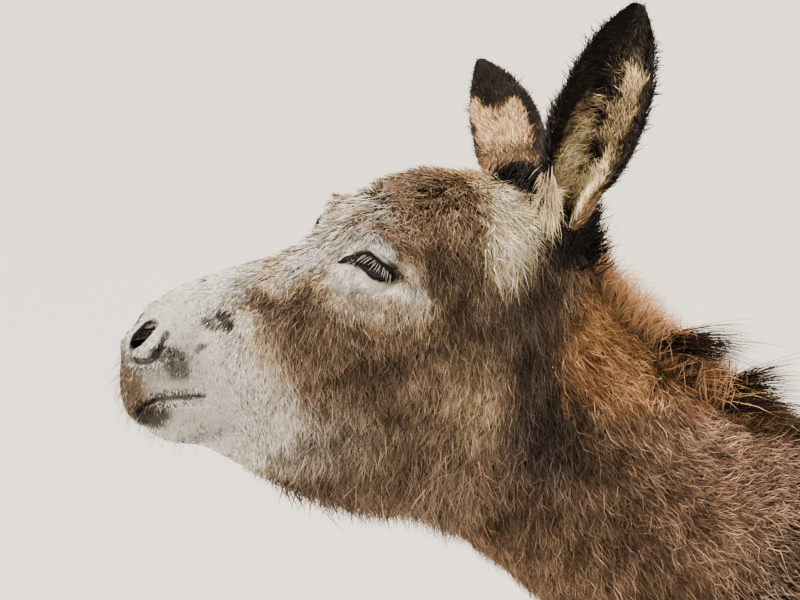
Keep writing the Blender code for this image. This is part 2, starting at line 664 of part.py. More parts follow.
def ear(side):
    """A long cupped leaf: a tube at the root that opens along its length to a blunt point."""
    base, axis, opening = ear_axes(side)
    across = axis.cross(opening).normalized()
    rows, turns = 14, 10
    # share of the length, half width, depth of the cup, half angle of the wall
    shape = [
        (0.00, 0.0250, 0.046, 150),
        (0.12, 0.0310, 0.048, 132),
        (0.28, 0.0400, 0.044, 112),
        (0.50, 0.0455, 0.036, 98),
        (0.70, 0.0420, 0.028, 90),
        (0.86, 0.0310, 0.020, 84),
        (0.95, 0.0190, 0.014, 80),
        (1.00, 0.0085, 0.010, 78),
    ]
    knots, values = np.array([s[0] for s in shape]), np.array([s[1:] for s in shape])
    outer, inner = [], []
    root = base + axis * (EAR_ROOT + SEAM)
    for i in range(rows):
        t = i / (rows - 1)
        width, depth, angle = (np.interp(t, knots, values[:, k]) for k in range(3))
        half = math.radians(angle)
        wall = 0.0075 - 0.0030 * t
        bend = opening * (0.022 * math.sin(math.pi * t)) - opening * 0.0 + axis * (t * (EAR_LENGTH - EAR_ROOT))
        centre = root + bend - opening * 0.024
        for row, shrink in ((outer, 0.0), (inner, wall)):
            points = []
            for k in range(turns):
                psi = half * (2 * k / (turns - 1) - 1)
                reach = (width - shrink) * math.sin(psi) / (math.sin(half) if angle < 90 else 1)
                deep = shrink + (depth - shrink) * (1 - math.cos(psi)) / (1 - math.cos(half))
                points.append(centre + across * reach + opening * deep)
            row.append(points)
    shape = bmesh.new()
    out = [[shape.verts.new(p) for p in row] for row in outer]
    ins = [[shape.verts.new(p) for p in row] for row in inner]
    for i in range(rows - 1):
        for k in range(turns - 1):
            shape.faces.new((out[i][k], out[i][k + 1], out[i + 1][k + 1], out[i + 1][k]))
            shape.faces.new((ins[i][k], ins[i + 1][k], ins[i + 1][k + 1], ins[i][k + 1]))
        for k, flip in ((0, False), (turns - 1, True)):
            quad = (out[i][k], out[i + 1][k], ins[i + 1][k], ins[i][k])
            shape.faces.new(quad[::-1] if flip else quad)
    for i in (0, rows - 1):
        for k in range(turns - 1):
            quad = (out[i][k], out[i][k + 1], ins[i][k + 1], ins[i][k])
            shape.faces.new(quad)
    bmesh.ops.recalc_face_normals(shape, faces=shape.faces)
    mesh = bpy.data.meshes.new("ear")
    shape.to_mesh(mesh)
    shape.free()
    mesh.shade_smooth()
    return new_object("ear_left" if side < 0 else "ear_right", mesh, "coat_dark")


def ball(name, centre, radius, finish, rings=12):
    shape = bmesh.new()
    bmesh.ops.create_uvsphere(shape, u_segments=2 * rings, v_segments=rings, radius=radius)
    bmesh.ops.translate(shape, verts=shape.verts, vec=centre)
    mesh = bpy.data.meshes.new(name)
    shape.to_mesh(mesh)
    shape.free()
    mesh.shade_smooth()
    return new_object(name, mesh, finish)


def add_eyes(head):
    """Each eyeball sits in a socket one seam wider than itself."""
    for side, word in ((-1, "left"), (1, "right")):
        right, forward, up = EYE_PLACE
        centre = HEAD @ Vector((side * right, forward, up))
        socket = ball("socket", centre, EYE_RADIUS + SEAM, "eye", 8)
        boolean(head, socket, "DIFFERENCE")
        ball(f"eye_{word}", centre, EYE_RADIUS, "eye", 8)


def hoof(end, side, word):
    """A small upright hoof: a rounded toe, a straight heel and a flat sole."""
    stations = FORELEG if end == "front" else HINDLEG
    near = leg_point(end, side, word, 0.08)
    coronet = next(s for s in stations if s[0] == 0.080)
    half_long, half_wide = (coronet[2] - coronet[1]) / 2, (coronet[4] - coronet[3]) / 2
    count = 20
    rings = []
    #       height, toe reach, heel reach, half width
    levels = [
        (0.0, half_long + 0.016, half_long - 0.003, half_wide + 0.004),
        (0.004, half_long + 0.018, half_long, half_wide + 0.006),
        (0.035, half_long + 0.009, half_long + 0.001, half_wide + 0.003),
        (HOOF_HEIGHT - SEAM, half_long - 0.001, half_long + 0.001, half_wide - 0.001),
    ]
    for height, toe, heel, width in levels:
        ring = []
        for k in range(count):
            angle = 2 * math.pi * k / count
            c, s = math.cos(angle), math.sin(angle)
            if c < 0:
                ring.append(Vector((near.x + toe * c, near.y + width * s, height)))
            else:
                flat = math.copysign(abs(c) ** 0.6, c)
                ring.append(Vector((near.x + heel * flat, near.y + width * math.copysign(abs(s) ** 0.8, s), height)))
        rings.append(ring)
    mesh = mesh_from_rings("hoof", rings)
    mesh.shade_smooth()
    mesh.set_sharp_from_angle(angle=math.radians(40))
    return new_object(f"hoof_{end}_{word}", mesh, "hoof_horn")


def clearance_copy(body):
    """The body's surface moved out by one seam, to cut what rests on it."""
    copy = body.copy()
    copy.data = body.data.copy()
    bpy.context.scene.collection.objects.link(copy)
    grow = copy.modifiers.new("grow", "DISPLACE")
    grow.strength = SEAM * 1.5
    grow.mid_level = 0
    return applied(copy)


def mane(body_copy):
    """The standing mane: a narrow ridge along the crest that leans a little to the right."""
    crest = [(d[0], d[1]) for d in NECK[1:]][::-1]
    crest = [(-0.650, 1.335), *crest[1:-1], (-0.260, 1.043), (-0.195, 1.046)]
    heights = [0.014, 0.026, MANE_HEIGHT, MANE_HEIGHT, 0.034, 0.030, 0.020, 0.006]
    rows = []
    for (x, z), height in zip(crest, heights):
        rows.append((x, z, x, z, height))
    points = np.array([[x, z] for x, z, *_ in rows])
    ahead = np.gradient(points, axis=0)
    ahead /= np.linalg.norm(ahead, axis=1)[:, None]
    stations = []
    for (x, z), (ax, az), height in zip(points, ahead, heights):
        wide = 0.014 + 0.30 * height
        up = np.array([-az, ax]) if ax > 0 else np.array([az, -ax])
        top, low = (x, z) + up * height, (x, z) - up * 0.030
        stations.append((top[0], top[1], low[0], low[1], wide, 0.30, 1.6, 2.0))
    ridge = sagittal_loft("mane", stations, 0.040, count=14)
    for vert in ridge.data.vertices:        # the lean grows with the height above the crest
        share = max(0.0, vert.co.z - 1.04)
        vert.co.y += 0.03 * share
    return boolean(ridge, body_copy, "DIFFERENCE")


def tail_switch():
    """The tuft of long hair that ends the tail."""
    stations = [
        (0.605, 0.5745, 0.556, 0.5745, 0.026, 0.5, 2.0, 2.0),
        (0.616, 0.520, 0.547, 0.520, 0.034, 0.5, 2.0, 2.0),
        (0.618, 0.440, 0.549, 0.440, 0.036, 0.5, 2.0, 2.0),
        (0.610, 0.360, 0.558, 0.360, 0.028, 0.5, 2.0, 2.0),
        (0.600, 0.300, 0.572, 0.300, 0.016, 0.5, 2.0, 2.0),
        (0.590, 0.270, 0.582, 0.270, 0.006, 0.5, 2.0, 2.0),
    ]
    made = sagittal_loft("tail_switch", stations, 0.03, count=14)
    made.data.materials[0] = material("coat_dark")
    return made


def largest_island(obj):
    """Keeps only the biggest loose part of a cut piece."""
    shape = bmesh.new()
    shape.from_mesh(obj.data)
    seen, groups = set(), []
    for vert in shape.verts:
        if vert in seen:
            continue
        stack, group = [vert], []
        seen.add(vert)
        while stack:
            here = stack.pop()
            group.append(here)
            for edge in here.link_edges:
                other = edge.other_vert(here)
                if other not in seen:
                    seen.add(other)
                    stack.append(other)
        groups.append(group)
    groups.sort(key=len)
    bmesh.ops.delete(shape, geom=[v for g in groups[:-1] for v in g], context="VERTS")
    shape.to_mesh(obj.data)
    shape.free()


def centre_on_floor():
    """Moves every piece so that the origin is under the middle of the animal."""
    low, high = Vector((1e9,) * 3), Vector((-1e9,) * 3)
    for obj in bpy.context.scene.objects:
        for vert in obj.data.vertices:
            low = Vector(map(min, low, vert.co))
            high = Vector(map(max, high, vert.co))
    middle = (low + high) / 2
    for obj in bpy.context.scene.objects:
        obj.data.transform(Matrix.Translation((-middle.x, -middle.y, 0)))


def build():
    for obj in list(bpy.data.objects):
        bpy.data.objects.remove(obj)
    body = fused_body()
    model_body(body.data)
    model_face(body.data)
    thin_out(body)
    spare = clearance_copy(body)
    ridge = mane(spare)
    largest_island(ridge)
    ridge.data.materials[0] = material("coat_dark")
    part_body(body)
    named = name_islands(islands(body))
    for part in named.values():
        part.data.shade_smooth()
    add_eyes(named["head"])
    for side in (-1, 1):
        ear(side)
    for end in ("front", "hind"):
        for side, word in ((-1, "left"), (1, "right")):
            hoof(end, side, word)
    tail_switch()
    centre_on_floor()


build()
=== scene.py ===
import bpy, bmesh, math
import numpy as np
from mathutils import Matrix, Vector, kdtree


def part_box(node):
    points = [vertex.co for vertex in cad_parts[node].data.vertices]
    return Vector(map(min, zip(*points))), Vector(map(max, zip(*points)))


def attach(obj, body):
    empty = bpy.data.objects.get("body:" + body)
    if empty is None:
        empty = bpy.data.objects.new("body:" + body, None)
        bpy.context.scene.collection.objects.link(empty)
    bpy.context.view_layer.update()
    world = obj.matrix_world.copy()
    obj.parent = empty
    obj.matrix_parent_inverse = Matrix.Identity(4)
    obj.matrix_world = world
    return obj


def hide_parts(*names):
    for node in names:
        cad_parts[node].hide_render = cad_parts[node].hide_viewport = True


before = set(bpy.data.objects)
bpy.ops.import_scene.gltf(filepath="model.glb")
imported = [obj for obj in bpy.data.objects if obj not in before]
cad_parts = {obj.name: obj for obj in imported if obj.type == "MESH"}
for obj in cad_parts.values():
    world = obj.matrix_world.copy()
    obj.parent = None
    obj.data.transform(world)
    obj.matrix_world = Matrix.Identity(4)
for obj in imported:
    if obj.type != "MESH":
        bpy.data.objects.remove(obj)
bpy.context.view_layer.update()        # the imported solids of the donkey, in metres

flesh = ["head", "neck", "trunk", "tail"] + [
    f"leg_{end}_{side}_{part}"
    for end in ("front", "hind") for side in ("left", "right") for part in ("upper", "lower")]

bodyMiddle = -0.018      # the body's own middle stands a little to the left

# where the head is and how it is turned: poll and atlas in the build's own frame, angles in degrees
headPose = {
    "poll": (-0.62, 0.0, 1.335), "atlas": (-0.58, 0.0, 1.22),
    "pitch": 22, "yaw": 7, "roll": -5,
    "eye": (0.0655, 0.216, 0.003), "eyeRadius": 0.022,
}


# small tools
def linearColour(hexText):
    parts = [int(hexText[i:i + 2], 16) / 255 for i in (0, 2, 4)]
    return tuple(c / 12.92 if c <= 0.04045 else ((c + 0.055) / 1.055) ** 2.4 for c in parts)


def colour(hexText):
    return np.array(linearColour(hexText))


def deselectAll():
    if bpy.context.object and bpy.context.object.mode != "OBJECT":
        bpy.ops.object.mode_set(mode="OBJECT")
    bpy.ops.object.select_all(action="DESELECT")


def selectOnly(*objects):
    deselectAll()
    for obj in objects:
        obj.select_set(True)
    bpy.context.view_layer.objects.active = objects[0]


def editAll(piece, step, **settings):
    # one edit mode step on the whole mesh
    selectOnly(piece)
    bpy.ops.object.mode_set(mode="EDIT")
    bpy.ops.mesh.select_all(action="SELECT")
    step(**settings)
    bpy.ops.object.mode_set(mode="OBJECT")


def addPiece(name, mesh):
    piece = bpy.data.objects.new(name, mesh)
    bpy.context.scene.collection.objects.link(piece)
    return piece


def applyModifier(obj, kind, **settings):
    modifier = obj.modifiers.new("work", kind)
    for key, value in settings.items():
        setattr(modifier, key, value)
    selectOnly(obj)
    bpy.ops.object.modifier_apply(modifier=modifier.name)


def copyOfNodes(names, pieceName):
    copies = []
    for name in names:
        copies.append(addPiece(pieceName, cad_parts[name].data.copy()))
    selectOnly(*copies)
    if len(copies) > 1:
        bpy.ops.object.join()
    piece = bpy.context.view_layer.objects.active
    piece.name = pieceName
    editAll(piece, bpy.ops.mesh.remove_doubles, threshold=0.00005)
    piece.data.materials.clear()
    return piece


def placesOf(mesh):
    places = np.empty(len(mesh.vertices) * 3)
    mesh.vertices.foreach_get("co", places)
    return places.reshape(-1, 3)


def setPlaces(mesh, places):
    mesh.vertices.foreach_set("co", np.asarray(places, dtype=np.float32).ravel())
    mesh.update()


def normalsOf(mesh):
    normals = np.empty(len(mesh.vertices) * 3)
    mesh.vertex_normals.foreach_get("vector", normals)
    return normals.reshape(-1, 3)


def edgesOf(mesh):
    edges = np.empty(len(mesh.edges) * 2, dtype=np.int64)
    mesh.edges.foreach_get("vertices", edges)
    return edges.reshape(-1, 2)


def neighbourMean(edges, values):
    total = np.zeros_like(values)
    count = np.zeros(len(values))
    for a, b in ((0, 1), (1, 0)):
        for k in range(values.shape[1]):
            total[:, k] += np.bincount(edges[:, a], weights=values[edges[:, b], k], minlength=len(values))
        count += np.bincount(edges[:, a], minlength=len(values))
    return total / np.maximum(count, 1)[:, None]


def relax(mesh, rounds, strength=0.5, share=None):
    places, edges = placesOf(mesh), edgesOf(mesh)
    share = 1.0 if share is None else share[:, None]
    for _ in range(rounds):      # out again after each step in, so the form keeps its bulk
        places = places + strength * share * (neighbourMean(edges, places) - places)
        places = places - 0.9 * strength * share * (neighbourMean(edges, places) - places)
    setPlaces(mesh, places)


def smoothStep(low, high, value):
    share = np.clip((value - low) / (high - low), 0.0, 1.0)
    return share * share * (3 - 2 * share)


def unit(vectors):
    return vectors / np.maximum(np.linalg.norm(vectors, axis=-1, keepdims=True), 1e-9)


def alongSkin(vectors, normals):
    # the same directions, laid flat on the skin
    return unit(vectors - normals * (vectors * normals).sum(axis=1, keepdims=True))


def everywhere(value, places):
    return np.repeat(np.atleast_2d(value), len(places), axis=0)


def tint(ground, share, tone):
    # one tone or direction laid over another, by a share at each point
    return ground + share[:, None] * (tone - ground)


def hashed(cells, seed):
    cells = cells.astype(np.int64)
    mixed = cells[..., 0] * 73856093 ^ cells[..., 1] * 19349663 ^ cells[..., 2] * 83492791 ^ (seed * 2654435761)
    mixed = (mixed ^ (mixed >> 13)) * 1274126177 & 0x7FFFFFFF
    return ((mixed ^ (mixed >> 16)) & 0xFFFFF) / 0xFFFFF


def softNoise(places, size, seed):
    # a smooth value between -1 and 1 that changes over about one size
    scaled = places / size
    cell = np.floor(scaled)
    inside = scaled - cell
    inside = inside * inside * (3 - 2 * inside)
    total = np.zeros(len(places))
    for corner in np.ndindex(2, 2, 2):
        weight = np.prod(np.where(np.array(corner) == 1, inside, 1 - inside), axis=1)
        total += weight * hashed(cell + np.array(corner), seed)
    return total * 2 - 1


def noiseVector(places, size, seed):
    return np.stack([softNoise(places, size, seed + k) for k in range(3)], axis=1)


def nearestSeed(places, size, seed):
    # the nearest of one random point in each cell: hairs that share it form a lock
    cell = np.floor(places / size)
    best = np.full(len(places), 1e9)
    chosen = np.zeros_like(places)
    for corner in np.ndindex(3, 3, 3):
        other = cell + np.array(corner) - 1
        jitter = np.stack([hashed(other, seed + k) for k in range(3)], axis=1)
        point = (other + jitter) * size
        away = np.linalg.norm(point - places, axis=1)
        closer = away < best
        best[closer] = away[closer]
        chosen[closer] = point[closer]
    return chosen


def blob(places, centre, reach, soft=0.5):
    away = np.linalg.norm((places - np.array(centre)) / np.array(reach), axis=1)
    return 1 - smoothStep(1 - soft, 1 + soft, away)


def paint(places, ground, strokes):
    # each stroke: centre, reach along the three axes, softness, value, strength
    for centre, reach, soft, value, strength in strokes:
        ground = tint(ground, strength * blob(places, centre, reach, soft), np.atleast_1d(value))
    return ground


def scalarPaint(places, ground, strokes):
    return paint(places, np.full((len(places), 1), ground), strokes)[:, 0]


def nearLine(places, line):
    # distance from a bent line, and how far along it the nearest point is
    line = np.array(line)
    best = np.full(len(places), 1e9)
    along = np.zeros(len(places))
    steps = np.linalg.norm(np.diff(line, axis=0), axis=1)
    done = 0.0
    for k in range(len(line) - 1):
        run = line[k + 1] - line[k]
        t = np.clip((places - line[k]) @ run / (run @ run), 0, 1)
        away = np.linalg.norm(places - (line[k] + t[:, None] * run), axis=1)
        closer = away < best
        best[closer] = away[closer]
        along[closer] = (done + t * steps[k])[closer] / steps.sum()
        done += steps[k]
    return best, along


# the head's own frame: across to the right, towards the muzzle, up from the brow
def headFrame(pose):
    pitch = math.radians(pose["pitch"])
    across, muzzle = Vector((0, 1, 0)), Vector((-math.cos(pitch), 0, -math.sin(pitch)))
    dorsal = Vector((-math.sin(pitch), 0, math.cos(pitch)))
    axes = Matrix((across, muzzle, dorsal)).transposed().to_4x4()
    turn = (Matrix.Rotation(math.radians(pose["yaw"]), 3, "Z")
            @ Matrix.Rotation(math.radians(pose["roll"]), 3, muzzle)).to_4x4()
    pivot = Matrix.Translation(Vector(pose["atlas"]))
    place = pivot @ turn @ pivot.inverted() @ Matrix.Translation(Vector(pose["poll"])) @ axes
    low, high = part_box("eye_left")
    across, along, up = pose["eye"]
    shift = (low + high) / 2 - place @ Vector((-across, along, up))
    return Matrix.Translation(shift) @ place, shift


headMatrix, bodyShift = headFrame(headPose)
headTurn = np.array(headMatrix.to_3x3())
headOrigin = np.array(headMatrix.translation)


def inHead(places):
    return (places - headOrigin) @ headTurn


def outOfHead(places):
    return places @ headTurn.T + headOrigin


def bothSides(places):
    # head coordinates with both sides laid on the left one, and 1 on the left or -1 on the right
    local = inHead(places)
    side = np.where(local[:, 0] > 0, -1.0, 1.0)
    local[:, 0] *= side
    return local, side


# one skin over all the flesh
skinShape = {
    "voxel": 0.0089,         # metres between points on the body, half of it on the head
    "headDepth": 0.011, "neckDepth": 0.019, "trunkDepth": 0.019, "tailDepth": 0.008,
    "legDepth": (0.0042, 0.0130),     # at the fetlock and at the elbow
    "seamRounds": 24,        # softening across the seams
    "finer": (1.7, 1.08),    # reach of each finer ring round the features
    # depth of coat on the head: centre, reach, softness, depth, strength
    "headDepths": [
        ((0, 0.10, -0.33), (0.12, 0.20, 0.075), 0.5, 0.026, 1.0),     # beard under the jaw
        ((0, 0.33, -0.26), (0.10, 0.14, 0.075), 0.5, 0.020, 1.0),
        ((0, 0.10, 0.04), (0.10, 0.10, 0.06), 0.5, 0.016, 1.0),       # woolly forehead
        ((0, 0.37, 0.03), (0.12, 0.075, 0.08), 0.5, 0.0045, 1.0),     # nose
        ((0, 0.47, -0.03), (0.14, 0.115, 0.16), 0.35, 0.0020, 1.0),   # muzzle
        ((-0.082, 0.216, 0.003), (0.03, 0.040, 0.040), 0.5, 0.0045, 1.0),   # round the eye
    ],
}

regionNames = ["head", "neck", "trunk", "leg", "tail"]


def solidIndex():
    spots, owners = [], []
    for name in flesh:
        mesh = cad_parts[name].data
        region = regionNames.index("leg" if name.startswith("leg") else name)
        places = placesOf(mesh)
        corners = np.array([list(face.vertices) for face in mesh.polygons])
        for weights in ((1, 1, 1), (4, 1, 1), (1, 4, 1), (1, 1, 4), (4, 4, 1), (1, 4, 4), (4, 1, 4)):
            share = np.array(weights) / sum(weights)
            spots.append(np.einsum("k,fkc->fc", share, places[corners]))
            owners.append(np.full(len(corners), region))
    spots, owners = np.concatenate(spots), np.concatenate(owners)
    tree = kdtree.KDTree(len(spots))
    for k, spot in enumerate(spots):
        tree.insert(spot, k)
    tree.balance()
    return tree, owners


solidTree, solidOwners = solidIndex()


def regionShares(mesh, rounds):
    # how much each point belongs to head, neck, trunk, leg and tail, softened across the seams
    edges = edgesOf(mesh)
    owner = solidOwners[[solidTree.find(place)[1] for place in placesOf(mesh)]]
    shares = np.eye(len(regionNames))[owner]
    for _ in range(rounds):
        shares = 0.4 * shares + 0.6 * neighbourMean(edges, shares)
    return shares / shares.sum(axis=1, keepdims=True)


def coatDepth(places, shares):
    local, _ = bothSides(places)
    onHead = scalarPaint(local, skinShape["headDepth"], skinShape["headDepths"])
    low, high = skinShape["legDepth"]
    onLeg = low + (high - low) * smoothStep(0.12, 0.55, places[:, 2])
    onNeck, onTrunk, onTail = (np.full(len(places), skinShape[key]) for key in ("neckDepth", "trunkDepth", "tailDepth"))
    values = np.stack([onHead, onNeck, onTrunk, onLeg, onTail], axis=1)
    return (values * shares).sum(axis=1)


def subdivideWhere(piece, chosen):
    faces = np.zeros(len(piece.data.polygons), dtype=bool)
    centres = np.empty(len(faces) * 3)
    piece.data.polygons.foreach_get("center", centres)
    faces[:] = chosen(centres.reshape(-1, 3))
    selectOnly(piece)
    bpy.ops.object.mode_set(mode="EDIT")
    bpy.context.tool_settings.mesh_select_mode = (False, False, True)
    bpy.ops.mesh.select_all(action="DESELECT")
    bpy.ops.object.mode_set(mode="OBJECT")
    piece.data.polygons.foreach_set("select", faces)
    bpy.ops.object.mode_set(mode="EDIT")
    bpy.ops.mesh.subdivide(number_cuts=1)
    bpy.ops.object.mode_set(mode="OBJECT")


# features of the face in head coordinates of the left side, in metres
face = {
    # opening of the lids, along the slit and across it, from the front corner over the top
    "slitTurn": 38,
    "slit": [(20.5, 1.0), (20.0, 5.0), (17.7, 10.5), (13.3, 12.8), (8.1, 11.6), (3.4, 9.1), (-2.5, 6.6),
             (-9.3, 3.8), (-15.0, 0.8), (-18.8, -3.0), (-16.5, -6.6), (-11.5, -8.3), (-2.7, -8.8), (3.2, -7.8),
             (9.0, -5.7), (15.0, -3.6), (19.0, -1.4)],
    "lid": 0.0020,
    "nostril": (-0.034, 0.4575, 0.0215), "nostrilLong": 0.0215, "nostrilWide": 0.0098, "nostrilDeep": 0.027,
    "farNostril": (0.008, 0.0, 0.014),      # the right nostril is held a little lower and further out
    "mouth": [(0.0, 0.494, -0.066), (-0.020, 0.489, -0.058), (-0.037, 0.4905, -0.053), (-0.048, 0.480, -0.043),
              (-0.055, 0.467, -0.0405), (-0.058, 0.451, -0.0445), (-0.0555, 0.433, -0.053),
              (-0.054, 0.424, -0.0585)],
    "crease": [(-0.030, 0.475, 0.002), (-0.041, 0.4695, 0.000), (-0.052, 0.461, 0.001), (-0.059, 0.452, 0.005),
               (-0.061, 0.444, 0.012), (-0.056, 0.434, 0.019)],
    "nostrilRim": [(-0.036, 0.424, 0.033), (-0.048, 0.428, 0.025), (-0.056, 0.437, 0.017), (-0.057, 0.4475, 0.013),
                   (-0.053, 0.459, 0.010), (-0.040, 0.469, 0.009)],
    "cheekCrest": [(-0.092, 0.185, -0.052), (-0.083, 0.250, -0.046), (-0.070, 0.315, -0.040)],
    "chinGroove": [(-0.052, 0.430, -0.080), (-0.044, 0.437, -0.104), (0, 0.437, -0.112)],
    "noseEdge": [(-0.047, 0.400, 0.004), (-0.052, 0.340, 0.010)],
    "tearCorner": [(-0.0775, 0.2310, 0.0190), (-0.0690, 0.2355, 0.0188), (-0.0575, 0.2385, 0.0170),
                   (-0.0515, 0.2450, 0.0145)],
}

slitTurn = math.radians(face["slitTurn"])
slitAlong = np.array([0, math.cos(slitTurn), math.sin(slitTurn)])
slitAcross = np.array([0, -math.sin(slitTurn), math.cos(slitTurn)])
eyeCentre = np.array([-headPose["eye"][0], headPose["eye"][1], headPose["eye"][2]])
eyeRadius = headPose["eyeRadius"]


def curveThrough(a, b, c, d, f):
    # between b and c, steered by their neighbours
    return 0.5 * (2 * b + (c - a) * f + (2 * a - 5 * b + 4 * c - d) * f ** 2 + (3 * b - a - 3 * c + d) * f ** 3)


def smoothLoop(points, count):
    # a closed even curve through the points
    points = np.array(points, dtype=float)
    n = len(points)
    t = np.arange(count) / count * n
    k = np.floor(t).astype(int)
    return curveThrough(points[(k - 1) % n], points[k % n], points[(k + 1) % n], points[(k + 2) % n], (t - k)[:, None])


def smoothOpen(points, count):
    # an even curve through the points, with its ends free
    points = np.vstack([2 * points[0] - points[1], points, 2 * points[-1] - points[-2]])
    t = np.linspace(1, len(points) - 2 - 1e-6, count)
    k = t.astype(int)
    return curveThrough(points[k - 1], points[k], points[k + 1], points[k + 2], (t - k)[:, None])


slitLoop = smoothLoop(face["slit"], 96) / 1000


def outsideSlit(flat):
    # signed distance from the edge of the lids, positive outside
    closed = np.vstack([slitLoop, slitLoop[:1]])
    away, _ = nearLine(flat, closed)
    inside = np.zeros(len(flat), dtype=bool)
    for a, b in zip(closed[:-1], closed[1:]):
        crosses = (a[1] > flat[:, 1]) != (b[1] > flat[:, 1])
        with np.errstate(divide="ignore", invalid="ignore"):
            at = a[0] + (flat[:, 1] - a[1]) * (b[0] - a[0]) / (b[1] - a[1])
        inside ^= crosses & (flat[:, 0] < at)
    return np.where(inside, -away, away)


def eyeSpot(local):
    # place round the eye: along the slit, across it, outwards; and distance from the ball's centre
    away = local - eyeCentre
    along, across, out = away @ slitAlong, away @ slitAcross, -away[:, 0]
    return along, across, out, np.linalg.norm(away, axis=1)


nostrilOut = unit(np.array([-0.90, 0.18, 0.40]))
nostrilAlong = unit(np.array([0.0, -0.0335, 0.0134]))
nostrilAlong = unit(nostrilAlong - nostrilOut * (nostrilAlong @ nostrilOut))
nostrilAcross = np.cross(nostrilOut, nostrilAlong)


def noseLocal(local, side):
    # head coordinates of the left side, where the right nostril sits a little differently
    return local + np.array(face["farNostril"]) * (side < 0)[:, None]


def nostrilSpot(local):
    away = local - np.array(face["nostril"])
    along, across, out = away @ nostrilAlong, away @ nostrilAcross, away @ nostrilOut
    bow = across - 0.0035 * (1 - (along / face["nostrilLong"]) ** 2) + 0.0015      # the slit is bent like a comma
    ring = np.sqrt((along / face["nostrilLong"]) ** 2 + (bow / face["nostrilWide"]) ** 2)
    return ring, out


def sculptFace(mesh):
    local, side = bothSides(placesOf(mesh))
    turned = np.stack([side, np.ones_like(side), np.ones_like(side)], axis=1)
    normals = normalsOf(mesh) @ headTurn * turned
    nearHead = (local[:, 1] > -0.02) & (np.abs(local[:, 0]) < 0.13) & (local[:, 1] < 0.6)

    # the nose rounds down before the nostrils
    local[:, 2] -= nearHead * 0.011 * blob(local, (0.0, 0.464, 0.052), (0.075, 0.032, 0.024), 0.9)
    dip = nearHead * blob(local, (0.0, 0.452, 0.060), (0.075, 0.024, 0.024), 0.9)
    local -= dip[:, None] * np.array([0, 0.0050, 0.0080])
    # wing of the nostril stands out, then the hole goes in
    wing = blob(noseLocal(local, side), (-0.041, 0.452, 0.019), (0.028, 0.038, 0.026), 0.7)
    local = local + (wing * nearHead * np.where(side > 0, 1.0, 0.6))[:, None] * nostrilOut * 0.0085
    right = nearHead * (side < 0) * blob(local, (-0.050, 0.444, 0.020), (0.034, 0.034, 0.028), 0.8)
    local += right[:, None] * np.array([0.004, -0.0024, -0.0040])      # the right wing is held lower
    ring, out = nostrilSpot(noseLocal(local, side))
    front = nearHead & (out > -0.020) & (local[:, 0] < -0.004)
    local = local + (front * 0.0030 * np.exp(-((ring - 1.25) / 0.22) ** 2))[:, None] * nostrilOut
    hole = front * np.clip(1 - ring ** 3, 0, 1) ** 0.6
    inwards = unit(np.array([0.72, -0.55, -0.42]))
    local = local + (hole * face["nostrilDeep"])[:, None] * inwards
    for line, high, wide in (("crease", -0.0090, 0.0034), ("nostrilRim", 0.0030, 0.0050)):
        away, _ = nearLine(noseLocal(local, side), face[line])
        local += (nearHead * high * np.exp(-(away / wide) ** 2))[:, None] * normals

    # lips: a deep line with a soft roll above and below
    away, along = nearLine(local, face["mouth"])
    fade = nearHead * (1 - smoothStep(0.86, 1.0, along))
    local += (fade * 0.0034 * np.exp(-((away - 0.0085) / 0.0055) ** 2))[:, None] * normals
    local -= (fade * 0.0075 * np.exp(-(away / 0.0022) ** 2))[:, None] * normals

    # bones and hollows: cheek crest, hollow above the eye, edge of the nose bone, chin groove
    crest, along = nearLine(local, face["cheekCrest"])
    local += (nearHead * 0.0030 * np.exp(-(crest / 0.013) ** 2) * (1 - along) ** 0.5)[:, None] * normals
    local -= (nearHead * 0.0045 * blob(local, (-0.075, 0.165, 0.026), (0.03, 0.024, 0.016), 0.6))[:, None] * normals
    for line, deep in (("chinGroove", 0.0030), ("noseEdge", 0.0022)):
        away, _ = nearLine(local, face[line])
        local -= (nearHead * deep * np.exp(-(away / 0.009) ** 2))[:, None] * normals

    # lids over the ball, a fold above and below, and the opening pushed in behind the ball
    for step in range(2):
        along, across, out, away = eyeSpot(local)
        near = nearHead & (away < 0.060) & (out > -0.014)
        edge = outsideSlit(np.stack([along, across], axis=1))
        shell = eyeRadius + face["lid"]
        blend = 0.002 + 0.013 * smoothStep(0.003, 0.014, edge)
        lidded = 0.5 * (away + shell + np.sqrt((away - shell) ** 2 + blend ** 2))
        goal = np.where(edge > 0, lidded, shell if step == 0 else eyeRadius - 0.0035)
        reached = eyeCentre + (local - eyeCentre) * (goal / np.maximum(away, 1e-6))[:, None]
        local = np.where(near[:, None], reached, local)
        if step == 0:
            setPlaces(mesh, outOfHead(local * turned))
            relax(mesh, 6, 0.5, near * 1.0)
            local, normals = inHead(placesOf(mesh)) * turned, normalsOf(mesh) @ headTurn * turned
            above = across > 0.30 * along - 0.004
            fold = np.where(above, 0.0016, 0.0010) * np.exp(-((edge - np.where(above, 0.0075, 0.0060)) / 0.0016) ** 2)
            swell = np.where(above, 0.0022, 0.0010) * np.exp(-((edge - 0.013) / 0.004) ** 2)
            local += (near * (swell - fold))[:, None] * normals
    setPlaces(mesh, outOfHead(local * turned))


